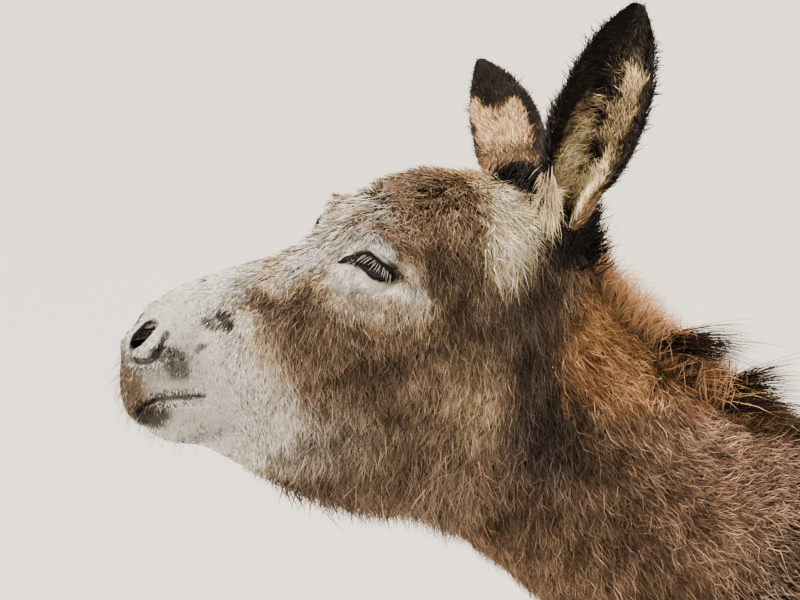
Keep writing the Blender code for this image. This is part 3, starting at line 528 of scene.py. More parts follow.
def makeSkin():
    # the balls fill their sockets until the lids are made
    piece = copyOfNodes(flesh + ["eye_left", "eye_right"], "skin")
    applyModifier(piece, "DISPLACE", strength=0.0004, mid_level=0.0)      # closes the thin gaps between the solids
    applyModifier(piece, "REMESH", mode="VOXEL", voxel_size=skinShape["voxel"], use_smooth_shade=True)
    mesh = piece.data
    relax(mesh, 5)
    shares = regionShares(mesh, skinShape["seamRounds"])
    normals, depth = normalsOf(mesh), coatDepth(placesOf(mesh), shares)
    setPlaces(mesh, placesOf(mesh) - normals * depth[:, None])
    relax(mesh, 3)
    subdivideWhere(piece, lambda centres: (inHead(centres)[:, 1] > 0.0) & (inHead(centres)[:, 2] > -0.40)
                   & (centres[:, 0] < -0.40))

    def byTheFeatures(centres, reach):
        local, _ = bothSides(centres)
        mouth, _ = nearLine(local, face["mouth"])
        nose = np.linalg.norm(local - np.array(face["nostril"]), axis=1) < 0.022 * reach
        eye = np.linalg.norm((local - eyeCentre)[:, 1:], axis=1) < 0.026 * reach
        return (nose | (eye & (local[:, 0] < -0.03)) | (mouth < 0.0055 * reach)) & (local[:, 1] > 0.1)

    for reach in skinShape["finer"]:      # finer where the features are
        relax(mesh, 2)
        subdivideWhere(piece, lambda centres: byTheFeatures(centres, reach))
    relax(mesh, 2)
    sculptFace(mesh)
    return piece


# ears: the root in head coordinates, the axis and the way the cup opens in the world
ears = {
    "root": (0.058, 0.010, -0.046), "length": 0.252, "rootRise": 0.030,
    "left": {"axis": (0.165, -0.36, 0.92), "opening": (-0.30, -1.0, 0.0)},
    "right": {"axis": (0.03, 0.82, 0.50), "opening": (0.45, 0.20, -0.60)},
    # the cup: share of the way up, its depth and half its width there, and the bow of its back
    "levels": (0, 0.12, 0.28, 0.5, 0.7, 0.86, 0.95, 1),
    "depths": (0.046, 0.048, 0.044, 0.036, 0.028, 0.020, 0.014, 0.010),
    "halves": (0.025, 0.031, 0.040, 0.0455, 0.042, 0.031, 0.019, 0.0085),
    "bow": 0.022, "back": -0.024,
}


def earFrame(word):
    side = -1 if word == "left" else 1
    base = np.array(headMatrix @ Vector((side * ears["root"][0], ears["root"][1], ears["root"][2])))
    axis = unit(np.array(ears[word]["axis"]))
    opening = np.array(ears[word]["opening"])
    opening = unit(opening - axis * (opening @ axis))
    return base, axis, opening, np.cross(axis, opening)


def makeEar(word):
    piece = copyOfNodes([f"ear_{word}"], f"ear_{word}_skin")
    editAll(piece, bpy.ops.mesh.tris_convert_to_quads)
    applyModifier(piece, "SUBSURF", levels=2, render_levels=2)
    mesh = piece.data
    base, axis, _, _ = earFrame(word)
    places, normals = placesOf(mesh), normalsOf(mesh)
    rise = (places - base) @ axis
    places = places - normals * 0.0012
    # the root goes on into the head
    places = places - axis * (0.022 * (1 - smoothStep(0.030, 0.060, rise)))[:, None]
    setPlaces(mesh, places)
    return piece


print("skin: body")
skin = makeSkin()
headPoints = len(skin.data.vertices)
print("skin: ears")
earPieces = [makeEar("left"), makeEar("right")]
earCounts = [len(piece.data.vertices) for piece in earPieces]
selectOnly(skin, *earPieces)
bpy.ops.object.join()
skin = bpy.context.view_layer.objects.active
skin.name = "skin"
skin.data.name = "skin"
selectOnly(skin)
bpy.ops.object.shade_smooth()
print("skin", len(skin.data.vertices), "points,", sum(len(p.vertices) - 2 for p in skin.data.polygons), "triangles")


# materials
def addNode(tree, kind, settings=None, links=None):
    node = tree.nodes.new("ShaderNode" + kind)
    for key, value in (settings or {}).items():
        if isinstance(key, int) or key in node.inputs.keys():
            node.inputs[key].default_value = value
        else:
            setattr(node, key, value)
    for key, (source, output) in (links or {}).items():
        tree.links.new(source.outputs[output], node.inputs[key])
    return node


def newMaterial(name):
    material = bpy.data.materials.new(name)
    material.use_nodes = True
    tree = material.node_tree
    tree.nodes.clear()
    return material, tree


def setStops(ramp, stops):
    elements = ramp.color_ramp.elements
    while len(elements) > 1:
        elements.remove(elements[-1])
    for k, (at, tone) in enumerate(stops):
        element = elements[0] if k == 0 else elements.new(at)
        element.position = at
        element.color = (*linearColour(tone), 1) if isinstance(tone, str) else (tone, tone, tone, 1)


def makeHairMaterial(name, roughness, sheen):
    # keratin: a soft satin line along each hair, no hard gloss; roots darker than tips, partly as painted shade deep in
    # the coat
    material, tree = newMaterial(name)
    tone = addNode(tree, "Attribute", {"attribute_name": "coatColour"})
    place = addNode(tree, "TexCoord")
    # about 2.4 mm, single hairs
    grain = addNode(tree, "TexNoise", {"Scale": 420.0, "Detail": 2.0}, {"Vector": (place, "Object")})
    spread = addNode(tree, "MapRange", {"To Min": 0.84, "To Max": 1.16}, {"Value": (grain, "Fac")})
    mixed = addNode(tree, "VectorMath", {"operation": "SCALE"}, {0: (tone, "Color"), "Scale": (spread, "Result")})
    surface = addNode(tree, "BsdfPrincipled", {
        "Roughness": roughness, "IOR": 1.55, "Specular IOR Level": 0.06,
        "Sheen Weight": sheen, "Sheen Roughness": 0.5}, {"Base Color": (mixed, 0)})
    addNode(tree, "OutputMaterial", None, {"Surface": (surface, "BSDF")})
    return material


def makeSkinMaterial():
    # living skin under short hair: matt, finely pitted
    material, tree = newMaterial("skin under short hair")
    tone = addNode(tree, "Attribute", {"attribute_name": "coatColour"})
    place = addNode(tree, "TexCoord")
    # 1.5 mm pores
    fine = addNode(tree, "TexNoise", {"Scale": 700.0, "Detail": 3.0, "Roughness": 0.6}, {"Vector": (place, "Object")})
    # 11 mm mottling
    broad = addNode(tree, "TexNoise", {"Scale": 90.0, "Detail": 3.0}, {"Vector": (place, "Object")})
    spread = addNode(tree, "MapRange", {"From Min": 0.3, "From Max": 0.7, "To Min": 0.82, "To Max": 1.14},
                     {"Value": (fine, "Fac")})
    wide = addNode(tree, "MapRange", {"From Min": 0.3, "From Max": 0.7, "To Min": 0.92, "To Max": 1.06},
                   {"Value": (broad, "Fac")})
    both = addNode(tree, "Math", {"operation": "MULTIPLY"}, {0: (spread, "Result"), 1: (wide, "Result")})
    mixed = addNode(tree, "VectorMath", {"operation": "SCALE"}, {0: (tone, "Color"), "Scale": (both, 0)})
    bump = addNode(tree, "Bump", {"Strength": 0.5, "Distance": 0.0006}, {"Height": (fine, "Fac")})
    surface = addNode(tree, "BsdfPrincipled", {"Roughness": 0.62, "IOR": 1.45, "Specular IOR Level": 0.10},
                      {"Base Color": (mixed, 0), "Normal": (bump, "Normal")})
    addNode(tree, "OutputMaterial", None, {"Surface": (surface, "BSDF")})
    return material


def makeBareSkinMaterial():
    # bare dark lid skin, kept moist by the tears: a soft broken gloss
    material, tree = newMaterial("moist lid skin")
    place = addNode(tree, "TexCoord")
    fine = addNode(tree, "TexNoise", {"Scale": 900.0, "Detail": 2.0}, {"Vector": (place, "Object")})
    ramp = addNode(tree, "ValToRGB", None, {"Fac": (fine, "Fac")})
    setStops(ramp, [(0.3, "0c0908"), (0.7, "17120f")])
    bump = addNode(tree, "Bump", {"Strength": 0.4, "Distance": 0.0004}, {"Height": (fine, "Fac")})
    surface = addNode(tree, "BsdfPrincipled", {"Roughness": 0.45, "IOR": 1.40, "Specular IOR Level": 0.2},
                      {"Base Color": (ramp, "Color"), "Normal": (bump, "Normal")})
    addNode(tree, "OutputMaterial", None, {"Surface": (surface, "BSDF")})
    return material


def makeEyeMaterial():
    # a dark brown iris with a wide lying pupil under a clear wet cornea
    material, tree = newMaterial("wet cornea over brown iris")
    spot = addNode(tree, "Attribute", {"attribute_name": "eyeSpot"})      # millimetres along, across and out
    parts = addNode(tree, "SeparateXYZ", None, {0: (spot, "Vector")})
    wide = addNode(tree, "Math", {"operation": "MULTIPLY", 1: 0.62}, {0: (parts, "X")})
    flat = addNode(tree, "CombineXYZ", None, {"X": (wide, 0), "Y": (parts, "Y")})
    pupil = addNode(tree, "VectorMath", {"operation": "LENGTH"}, {0: (flat, 0)})
    plain = addNode(tree, "CombineXYZ", None, {"X": (parts, "X"), "Y": (parts, "Y")})
    away = addNode(tree, "VectorMath", {"operation": "LENGTH"}, {0: (plain, 0)})
    turn = addNode(tree, "Math", {"operation": "ARCTAN2"}, {0: (parts, "X"), 1: (parts, "Y")})
    rays = addNode(tree, "CombineXYZ", None, {"X": (turn, 0)})
    # fibres of the iris, drawn coarse enough to show
    fibres = addNode(tree, "TexNoise", {"Scale": 14.0, "Detail": 4.0}, {"Vector": (rays, 0)})
    tones = addNode(tree, "ValToRGB", None, {"Fac": (fibres, "Fac")})
    setStops(tones, [(0.35, "0b0705"), (0.65, "1b110b")])
    isIris = addNode(tree, "MapRange", {"From Min": 4.4, "From Max": 5.4}, {"Value": (pupil, "Value")})
    middle = addNode(tree, "Mix", {"data_type": "RGBA", 6: (0.003, 0.003, 0.004, 1)},
                     {0: (isIris, "Result"), 7: (tones, "Color")})
    isWhite = addNode(tree, "MapRange", {"From Min": 15.0, "From Max": 17.5}, {"Value": (away, "Value")})
    whole = addNode(tree, "Mix", {"data_type": "RGBA", 7: (*linearColour("15100d"), 1)},
                    {0: (isWhite, "Result"), 6: (middle, 2)})
    surface = addNode(tree, "BsdfPrincipled",
                      {"Roughness": 0.08, "IOR": 1.376, "Specular IOR Level": 0.25, "Coat Weight": 0.08,
                       "Coat Roughness": 0.04, "Coat IOR": 1.376}, {"Base Color": (whole, 2)})
    addNode(tree, "OutputMaterial", None, {"Surface": (surface, "BSDF")})
    return material


def makeHoofMaterial():
    # horn grown in rings from the coronet: dull, dark, with fine upright fibres
    material, tree = newMaterial("ringed hoof horn")
    place = addNode(tree, "TexCoord")
    # 4 mm fibres
    upright = addNode(tree, "Mapping", {"Scale": (260.0, 260.0, 22.0)}, {"Vector": (place, "Object")})
    fibres = addNode(tree, "TexNoise", {"Scale": 1.0, "Detail": 4.0}, {"Vector": (upright, "Vector")})
    # rings about 6 mm apart
    lying = addNode(tree, "Mapping", {"Scale": (12.0, 12.0, 170.0)}, {"Vector": (place, "Object")})
    rings = addNode(tree, "TexNoise", {"Scale": 1.0, "Detail": 2.0}, {"Vector": (lying, "Vector")})
    both = addNode(tree, "Math", {"operation": "ADD"}, {0: (fibres, "Fac"), 1: (rings, "Fac")})
    half = addNode(tree, "Math", {"operation": "MULTIPLY", 1: 0.5}, {0: (both, 0)})
    ramp = addNode(tree, "ValToRGB", None, {"Fac": (half, 0)})
    setStops(ramp, [(0.36, "1f1a17"), (0.50, "3a322b"), (0.64, "5c4f43")])
    bump = addNode(tree, "Bump", {"Strength": 0.5, "Distance": 0.0008}, {"Height": (half, 0)})
    surface = addNode(tree, "BsdfPrincipled", {"Roughness": 0.48, "IOR": 1.54},
                      {"Base Color": (ramp, "Color"), "Normal": (bump, "Normal")})
    addNode(tree, "OutputMaterial", None, {"Surface": (surface, "BSDF")})
    return material


hairMaterial = makeHairMaterial("woolly donkey hair", 0.70, 0.0)
horseHairMaterial = makeHairMaterial("coarse mane hair", 0.45, 0.05)
skinMaterial = makeSkinMaterial()
lidMaterial = makeBareSkinMaterial()
eyeMaterial = makeEyeMaterial()
hoofMaterial = makeHoofMaterial()


def finishPiece(piece, material, slot, *nodes):
    piece.data.materials.clear()
    piece.data.materials.append(material)
    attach(piece, "root")
    if nodes:
        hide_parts(*nodes)


def setColours(mesh, tones):
    layer = mesh.color_attributes.new("coatColour", "FLOAT_COLOR", "POINT")
    values = np.ones((len(mesh.vertices), 4), dtype=np.float32)
    values[:, :3] = np.clip(tones, 0, 1)
    layer.data.foreach_set("color", values.ravel())


# markings: the same tones go on the skin and on every hair
tones = {name: colour(value) for name, value in {
    "cheek": "6c5a4a", "cheekDark": "4b3d33", "brow": "705b47", "cream": "dfd4c6", "white": "e6e1d9",
    "tan": "c9ad86", "mottle": "2c2520",
    "poll": "a8855e", "neckDark": "1f1918", "neck": "69523f", "rust": "a5774d", "mauve": "876856", "black": "171414",
    "trunk": "6a5648", "belly": "cfc4b4", "leg": "786553", "earBack": "34231b", "earEdge": "171211",
    "earCream": "d8c09a", "earBand": "fbe2ba", "lid": "1f1917",
}.items()}

headTones = [
    # centre, reach, softness, tone, strength
    ((-0.06, 0.115, 0.030), (0.08, 0.065, 0.050), 0.6, tones["brow"], 0.9),
    ((-0.02, 0.060, 0.030), (0.05, 0.040, 0.030), 0.6, tones["poll"], 0.8),
    ((-0.010, 0.208, 0.048), (0.05, 0.030, 0.014), 0.7, tones["cream"], 0.75),       # pale brow of the bridge
    ((-0.095, 0.158, -0.050), (0.05, 0.026, 0.050), 0.6, tones["cheekDark"] * 0.72, 0.8),       # behind the eye
    ((-0.085, 0.108, -0.051), (0.03, 0.013, 0.024), 0.6, tones["cheekDark"] * 0.5, 0.85),
    ((-0.089, 0.171, -0.054), (0.03, 0.008, 0.010), 0.6, tones["cheekDark"] * 0.5, 0.75),
    # dark line along the cheek
    ((-0.060, 0.268, -0.101), (0.04, 0.030, 0.011), 0.6, tones["cheekDark"] * 0.55, 0.65),
    # dark curls of the forehead
    ((-0.060, 0.076, 0.030), (0.03, 0.024, 0.022), 0.6, tones["cheekDark"] * 0.7, 0.65),
    ((-0.055, 0.112, 0.036), (0.03, 0.012, 0.012), 0.6, tones["cheekDark"] * 0.7, 0.55),
    ((-0.05, 0.255, -0.228), (0.09, 0.120, 0.032), 0.6, tones["cheekDark"], 0.5),       # fringe of the jaw: darker hair, partly painted shade under the jaw
    ((-0.072, 0.224, -0.107), (0.04, 0.020, 0.010), 0.6, tones["cheekDark"] * 0.55, 0.65),
    ((-0.089, 0.148, -0.137), (0.03, 0.013, 0.026), 0.6, tones["cheekDark"] * 0.6, 0.60),
    ((-0.080, 0.245, -0.108), (0.06, 0.055, 0.022), 0.6, tones["cheekDark"], 0.6),
    ((-0.095, 0.135, -0.110), (0.05, 0.040, 0.050), 0.7, tones["cheekDark"], 0.55),
    # before the muzzle
    ((-0.055, 0.365, -0.045), (0.05, 0.030, 0.060), 0.7, tones["tan"] * np.array([1.15, 1.2, 1.4]), 0.8),
    # dark mask between eye and muzzle
    ((-0.060, 0.318, -0.005), (0.04, 0.035, 0.028), 0.6, tones["cheekDark"] * 1.15, 0.80),
    ((-0.030, 0.326, 0.027), (0.04, 0.040, 0.014), 0.6, tones["tan"] * 1.1, 0.75),
    # in front of the eye
    ((-0.038, 0.262, 0.026), (0.040, 0.042, 0.026), 0.5, tones["white"] * np.array([1.14, 1.08, 1.0]), 0.95),
    ((-0.026, 0.250, 0.034), (0.012, 0.008, 0.008), 0.6, tones["cheekDark"], 0.55),
    ((-0.045, 0.272, 0.018), (0.010, 0.010, 0.006), 0.6, tones["cheekDark"], 0.45),
    ((-0.059, 0.288, 0.003), (0.03, 0.026, 0.008), 0.6, tones["tan"] * 0.85, 0.6),
    ((-0.05, 0.390, -0.122), (0.09, 0.050, 0.060), 0.5, tones["cream"], 0.95),       # jaw behind the chin
    ((-0.05, 0.345, -0.165), (0.09, 0.050, 0.040), 0.7, tones["cream"], 0.25),
    ((-0.085, 0.165, -0.185), (0.05, 0.030, 0.055), 0.7, tones["tan"] * 0.7, 0.40),
    ((-0.085, 0.205, -0.060), (0.05, 0.035, 0.030), 0.7, tones["tan"] * 0.75, 0.45),       # lighter below the eye
    ((-0.03, 0.465, -0.045), (0.12, 0.100, 0.125), 0.22, tones["white"], 1.0),      # muzzle
    ((-0.01, 0.392, 0.040), (0.10, 0.062, 0.032), 0.4, tones["white"], 1.0),
    # front of the upper lip: tan-brown, darkened further as painted shade on the muzzle's front
    ((-0.020, 0.490, -0.030), (0.036, 0.022, 0.038), 0.5, tones["tan"] * np.array([0.36, 0.30, 0.24]), 0.9),
    ((-0.044, 0.482, -0.062), (0.022, 0.016, 0.015), 0.4, tones["mottle"] * 1.3, 0.6),      # lower lip: brownish grey, darkened as painted shade under the upper lip
]

# pale and dark bands: line, half width, tone, strength
headBands = [
    # cream below the eye
    ([(-0.072, 0.262, -0.020), (-0.082, 0.240, -0.032), (-0.088, 0.212, -0.046), (-0.090, 0.190, -0.052)], 0.0110,
     tones["cream"] * np.array([0.78, 0.70, 0.60]), 0.75),
    # root of the ear
    ([(-0.036, 0.055, 0.008), (-0.060, 0.064, -0.006), (-0.074, 0.078, -0.030), (-0.082, 0.084, -0.056)], 0.0165,
     tones["earBand"], 0.97),
    ([(-0.050, 0.036, -0.010), (-0.062, 0.040, -0.024), (-0.070, 0.056, -0.040)], 0.0150, tones["earBand"], 0.97),
    ([(-0.059, 0.257, 0.0), (-0.072, 0.251, -0.002), (-0.084, 0.235, -0.009), (-0.085, 0.217, -0.020),
      (-0.090, 0.200, -0.031), (-0.089, 0.190, -0.036)], 0.0075, tones["white"] * np.array([1.10, 1.06, 1.0]), 0.97),
    ([(-0.060, 0.250, 0.010), (-0.078, 0.240, 0.006), (-0.086, 0.228, 0.000)], 0.0080,
     tones["white"] * np.array([1.10, 1.06, 1.0]), 0.97),
    ([(-0.053, 0.229, 0.022), (-0.066, 0.220, 0.026), (-0.079, 0.212, 0.023), (-0.087, 0.205, 0.016)], 0.0070,
     tones["white"], 0.97),
    ([(-0.086, 0.196, 0.006), (-0.088, 0.184, -0.010)], 0.0050, tones["cream"] * 0.75, 0.80),
    ([(-0.085, 0.215, -0.031), (-0.086, 0.224, -0.030)], 0.0050, tones["tan"] * 0.62, 0.60),
    ([(-0.030, 0.205, 0.036), (-0.034, 0.231, 0.026), (-0.045, 0.258, 0.013), (-0.055, 0.275, -0.002)], 0.0048,
     tones["tan"] * np.array([0.95, 0.86, 0.74]), 0.60),
    # shade behind the jaw
    ([(-0.085, 0.070, -0.090), (-0.095, 0.086, -0.15), (-0.090, 0.105, -0.215)], 0.027, tones["neckDark"] * 1.25, 0.85),
    # crease of the throat
    ([(-0.082, 0.176, -0.205), (-0.088, 0.160, -0.180), (-0.095, 0.146, -0.158)], 0.0055, tones["tan"] * 1.1, 0.8),
]

# share of dark hairs among the white ones on the muzzle
speckles = [
    ((-0.03, 0.465, -0.045), (0.12, 0.100, 0.125), 0.22, 0.07, 1.0),
    ((-0.04, 0.250, 0.034), (0.05, 0.070, 0.030), 0.5, 0.16, 1.0),      # in front of the eye and over it
    ((-0.042, 0.464, -0.026), (0.045, 0.042, 0.030), 0.6, 0.50, 1.0),      # between nostril and mouth
    ((-0.014, 0.492, -0.030), (0.034, 0.018, 0.036), 0.5, 0.55, 1.0),
    ((-0.060, 0.436, -0.012), (0.05, 0.013, 0.020), 0.30, 0.96, 1.0),      # below and behind the nostril
    ((-0.060, 0.447, 0.004), (0.05, 0.012, 0.009), 0.30, 0.90, 1.0),
    ((-0.05, 0.392, 0.009), (0.05, 0.007, 0.006), 0.30, 0.96, 1.0),
    ((-0.05, 0.375, 0.0025), (0.05, 0.009, 0.011), 0.30, 0.96, 1.0),
    ((-0.05, 0.382, 0.001), (0.05, 0.013, 0.004), 0.30, 0.80, 1.0),
    ((-0.05, 0.4075, -0.0105), (0.05, 0.008, 0.004), 0.30, 0.92, 1.0),
    ((-0.04, 0.3745, 0.038), (0.05, 0.009, 0.003), 0.30, 0.96, 1.0),
    ((-0.04, 0.405, 0.042), (0.05, 0.007, 0.003), 0.30, 0.80, 1.0),
    ((-0.034, 0.4575, 0.0215), (0.016, 0.030, 0.016), 0.50, 0.40, 1.0),     # rim of the nostril
    ((-0.046, 0.478, -0.060), (0.022, 0.020, 0.014), 0.40, 0.85, 1.0),      # lower lip: dark hairs, partly painted shade under the upper lip
    # dark hairs along the chin groove: painted shadow in the groove
    ((-0.045, 0.440, -0.105), (0.040, 0.030, 0.012), 0.50, 0.45, 1.0),
]


def speckShare(local):
    warped = local + 0.003 * noiseVector(local, 0.007, 91)
    return scalarPaint(warped, 0.0, speckles)


def headColour(local, side):
    flat = everywhere(tones["cheek"], local)
    warped = local + 0.012 * noiseVector(local, 0.035, 11)
    warped += 0.006 * noiseVector(local, 0.010, 14)
    flat = paint(warped, flat, headTones)
    for line, wide, tone, strength in headBands:
        away, _ = nearLine(0.3 * local + 0.7 * warped, line)
        flat = tint(flat, strength * (1 - smoothStep(0.3 * wide, 2.0 * wide, away)), tone)
    along, across, out, away = eyeSpot(local)
    edge = outsideSlit(np.stack([along, across], axis=1))
    bare = (away < 0.045) & (out > 0.001)
    edge = edge + 0.0012 * softNoise(local, 0.005, 41)
    upper = across > 0.30 * along - 0.004
    margin = bare * np.where(upper, 1 - smoothStep(0.0022, 0.0046, edge), 1 - smoothStep(0.0012, 0.0030, edge))
    margin = np.maximum(margin, cornerShare(local) * np.where(side > 0, 1.0, 0.25))
    # painted shade along the fold over the upper lid; a dark streak runs on behind the rear corner of the lids
    lidFold = bare * upper * np.exp(-((edge - 0.0066) / 0.0011) ** 2) * 0.75 * (out > 0)
    tail, _ = nearLine(np.stack([along, across], axis=1), [(-0.019, -0.003), (-0.033, 0.001)])
    lidFold = np.maximum(lidFold, bare * 0.6 * (1 - smoothStep(0.0008, 0.0026, tail)))
    flat = tint(flat, lidFold, tones["cheekDark"] * 0.6)
    flat = tint(flat, margin, tones["lid"])
    nose = noseLocal(local, side)
    ring, out = nostrilSpot(nose)
    # inside the nostril painted near black: painted shade in the hole
    inside = (out > -0.05) * (1 - smoothStep(0.85, 1.12, ring))
    flat = tint(flat, inside, tones["lid"] * 0.25)
    # dark bare skin in the crease, darkened further as painted shade in the fold
    crease, _ = nearLine(nose, face["crease"])
    flat = tint(flat, (1 - smoothStep(0.0016, 0.0062, crease)) * 0.95, tones["lid"] * 0.8)
    mouth, _ = nearLine(local, face["mouth"])
    return tint(flat, (1 - smoothStep(0.0012, 0.0040, mouth)) * 0.85, tones["lid"] * 1.3)


def cornerShare(local):
    # the bare tear corner in front of the lids, tapering forwards
    away, along = nearLine(local, face["tearCorner"])
    wide = 0.0074 - 0.0046 * along
    return 1 - smoothStep(wide * 0.7, wide * 1.15, away)


# where the markings of body, legs and tail begin and end, in metres
marks = {
    "belly": (0.535, 0.64), "bellyRise": 0.10,
    "stripe": (0.012, 0.026), "cross": (0.012, 0.028), "crossAt": -0.005, "crossLean": 0.10,
    "innerLeg": (0.055, 0.095), "fetlock": (0.09, 0.16), "legBands": 115, "legBandTone": 0.18,
    "tailStripe": (0.010, 0.022),
}


def neckColour(places):
    flat = everywhere(tones["neck"], places)
    warped = places + 0.020 * noiseVector(places, 0.06, 21)
    strokes = [
        # the two neckDark strokes: dark coat below the head, darkened further as painted shadow of the head and ear
        ((-0.395, -0.02, 1.12), (0.090, 0.40, 0.150), 0.5, tones["neckDark"], 0.97),
        ((-0.275, -0.02, 1.15), (0.080, 0.40, 0.075), 0.6, tones["rust"], 0.85),
        ((-0.19, -0.02, 1.11), (0.08, 0.40, 0.055), 0.6, tones["rust"], 0.75),
        ((-0.12, -0.02, 1.00), (0.12, 0.40, 0.090), 0.7, tones["mauve"], 0.85),
        ((-0.31, -0.02, 0.95), (0.10, 0.40, 0.070), 0.7, tones["neckDark"], 0.40),
    ]
    return paint(warped, flat, strokes)


def bodyColour(places):
    flat = everywhere(tones["trunk"], places)
    warped = places + 0.03 * noiseVector(places, 0.12, 31)
    under = 1 - smoothStep(*marks["belly"], warped[:, 2] - marks["bellyRise"] * smoothStep(0.25, 0.6, warped[:, 0]))
    flat = tint(flat, under * 0.9, tones["belly"])
    stripe = 1 - smoothStep(*marks["stripe"], np.abs(warped[:, 1] - bodyMiddle))
    stripe = stripe * smoothStep(0.85, 0.95, places[:, 2])
    cross = np.abs(warped[:, 0] - marks["crossAt"] + marks["crossLean"] * (1.0 - places[:, 2]))
    bar = (1 - smoothStep(*marks["cross"], cross)) * smoothStep(0.80, 0.92, places[:, 2])
    dark = np.maximum(stripe, bar * 0.9) * smoothStep(-0.15, 0.0, places[:, 0])
    return tint(flat, dark, tones["black"] * 1.6)


def legColour(places):
    flat = everywhere(tones["leg"], places)
    inner = 1 - smoothStep(*marks["innerLeg"], np.abs(places[:, 1] - bodyMiddle))
    flat = tint(flat, inner * 0.75 * smoothStep(0.15, 0.40, places[:, 2]), tones["belly"])
    low = 1 - smoothStep(*marks["fetlock"], places[:, 2])
    flat = tint(flat, low * 0.6, tones["cheekDark"] * 0.7)
    bands = 0.5 + 0.5 * np.sin(places[:, 2] * marks["legBands"] + 1.5 * softNoise(places, 0.05, 51))
    flat *= (1 - marks["legBandTone"] * bands * smoothStep(0.22, 0.3, places[:, 2])
             * (1 - smoothStep(0.42, 0.5, places[:, 2])))[:, None]
    return flat


def tailColour(places):
    flat = everywhere(tones["trunk"] * 0.8, places)
    stripe = 1 - smoothStep(*marks["tailStripe"], np.abs(places[:, 1] - bodyMiddle))
    return tint(flat, stripe * 0.8, tones["black"] * 1.5)


def allColours(places, shares):
    local, side = bothSides(places)
    layers = [headColour(local, side), neckColour(places), bodyColour(places), legColour(places), tailColour(places)]
    flat = sum(layer * shares[:, k:k + 1] for k, layer in enumerate(layers))
    warped = local + 0.010 * noiseVector(local, 0.025, 17)
    return paint(warped, flat, [
        # painted shadow of the near ear in the hollow behind it, over the black base of the mane
        ((-0.072, 0.000, -0.062), (0.06, 0.050, 0.036), 0.35, tones["black"] * 0.8, 0.98),
        ((-0.015, 0.018, 0.010), (0.028, 0.030, 0.040), 0.5, tones["black"] * 1.4, 0.85),      # black forelock between the ears, also standing in for painted shade at the near ear's base
    ])


# lie, length and lift of the coat at each point of the skin
coat = {
    "hairTone": 0.50, "rootTone": 0.22, "tipTone": 1.35,      # spread of tone from hair to hair, and from root to tip: tips paler, roots darker as painted shade deep in the coat
    # size of the waves of tone, and their strength
    "clumps": [(0.026, 0.42), (0.009, 0.42)], "streaks": (0.011, 0.58),
    "pale": (0.14, 1.6), "dark": (0.16, 0.45),      # share of pale and dark hairs, and their tone
    "thickness": (0.0007, 0.0032),
    # hair length on the head in metres: centre, reach, softness, value, strength
    "headLength": 0.018,
    "headLengths": [
        ((0, 0.15, 0.05), (0.08, 0.14, 0.05), 0.5, 0.024, 1.0),       # forehead
        ((-0.04, 0.10, -0.33), (0.12, 0.20, 0.090), 0.5, 0.052, 1.0),   # under the jaw
        ((-0.04, 0.33, -0.26), (0.10, 0.13, 0.080), 0.5, 0.042, 1.0),
        ((-0.09, 0.070, -0.070), (0.05, 0.030, 0.090), 0.6, 0.030, 1.0),
        ((0, 0.355, 0.03), (0.12, 0.075, 0.06), 0.6, 0.012, 1.0),     # nose
        ((-0.06, 0.225, 0.0), (0.05, 0.062, 0.045), 0.6, 0.009, 1.0),   # round the eye
        ((0, 0.465, -0.04), (0.14, 0.110, 0.14), 0.35, 0.0068, 1.0),   # muzzle
    ],
    "headLift": 0.50,
    "headLifts": [
        ((0, 0.14, 0.05), (0.07, 0.14, 0.05), 0.6, 0.95, 1.0),
        ((0, 0.225, 0.046), (0.05, 0.055, 0.018), 0.5, 1.00, 1.0),
        ((-0.04, 0.15, -0.31), (0.12, 0.25, 0.09), 0.5, 0.70, 1.0),
        ((0, 0.465, -0.04), (0.14, 0.110, 0.14), 0.35, 0.30, 1.0),
        ((-0.06, 0.225, 0.0), (0.05, 0.050, 0.040), 0.5, 0.30, 1.0),
    ],
    "neckLength": 0.025, "neckLift": 0.55,
    "trunkLength": 0.034, "trunkLift": 0.60,
    "legLength": (0.008, 0.024), "legLift": 0.34,
    "tailLength": 0.028, "tailLift": 0.5,
}


def headLie(local):
    # cheeks hang down, the nose runs to the muzzle, the brow spreads from a whorl, the lids ring the eye
    flow = everywhere((-0.05, 0.375, -0.927), local)
    flow = paint(local, flow, [
        ((-0.03, 0.330, 0.030), (0.08, 0.120, 0.050), 0.6, np.array([-0.15, 0.93, -0.35]), 1.0),
        ((-0.03, 0.470, -0.020), (0.10, 0.090, 0.110), 0.6, np.array([-0.10, 0.75, -0.60]), 1.0),
        ((-0.05, 0.440, -0.100), (0.10, 0.060, 0.060), 0.6, np.array([0.0, -0.20, -0.98]), 1.0),
        ((-0.03, 0.020, 0.010), (0.06, 0.045, 0.050), 0.6, np.array([-0.25, -0.55, 0.60]), 1.0),
    ])
    # a tousled forehead, falling to the temples
    share = blob(local, (0.0, 0.145, 0.050), (0.075, 0.120, 0.048), 0.5)
    fall = np.stack([-9.0 * np.abs(local[:, 0]), 0.75 + 0 * local[:, 0], np.full(len(local), -0.25)], axis=1)
    fall += 1.7 * noiseVector(local, 0.020, 94)
    flow = tint(flow, share, unit(fall))
    along, across, out, away = eyeSpot(local)
    ring = slitAlong * (along + 0.004)[:, None] * 0.8 + slitAcross * (across - 0.001)[:, None] * 1.3
    share = (1 - smoothStep(0.024, 0.044, away)) * (out > -0.02)
    return tint(flow, share, unit(ring))


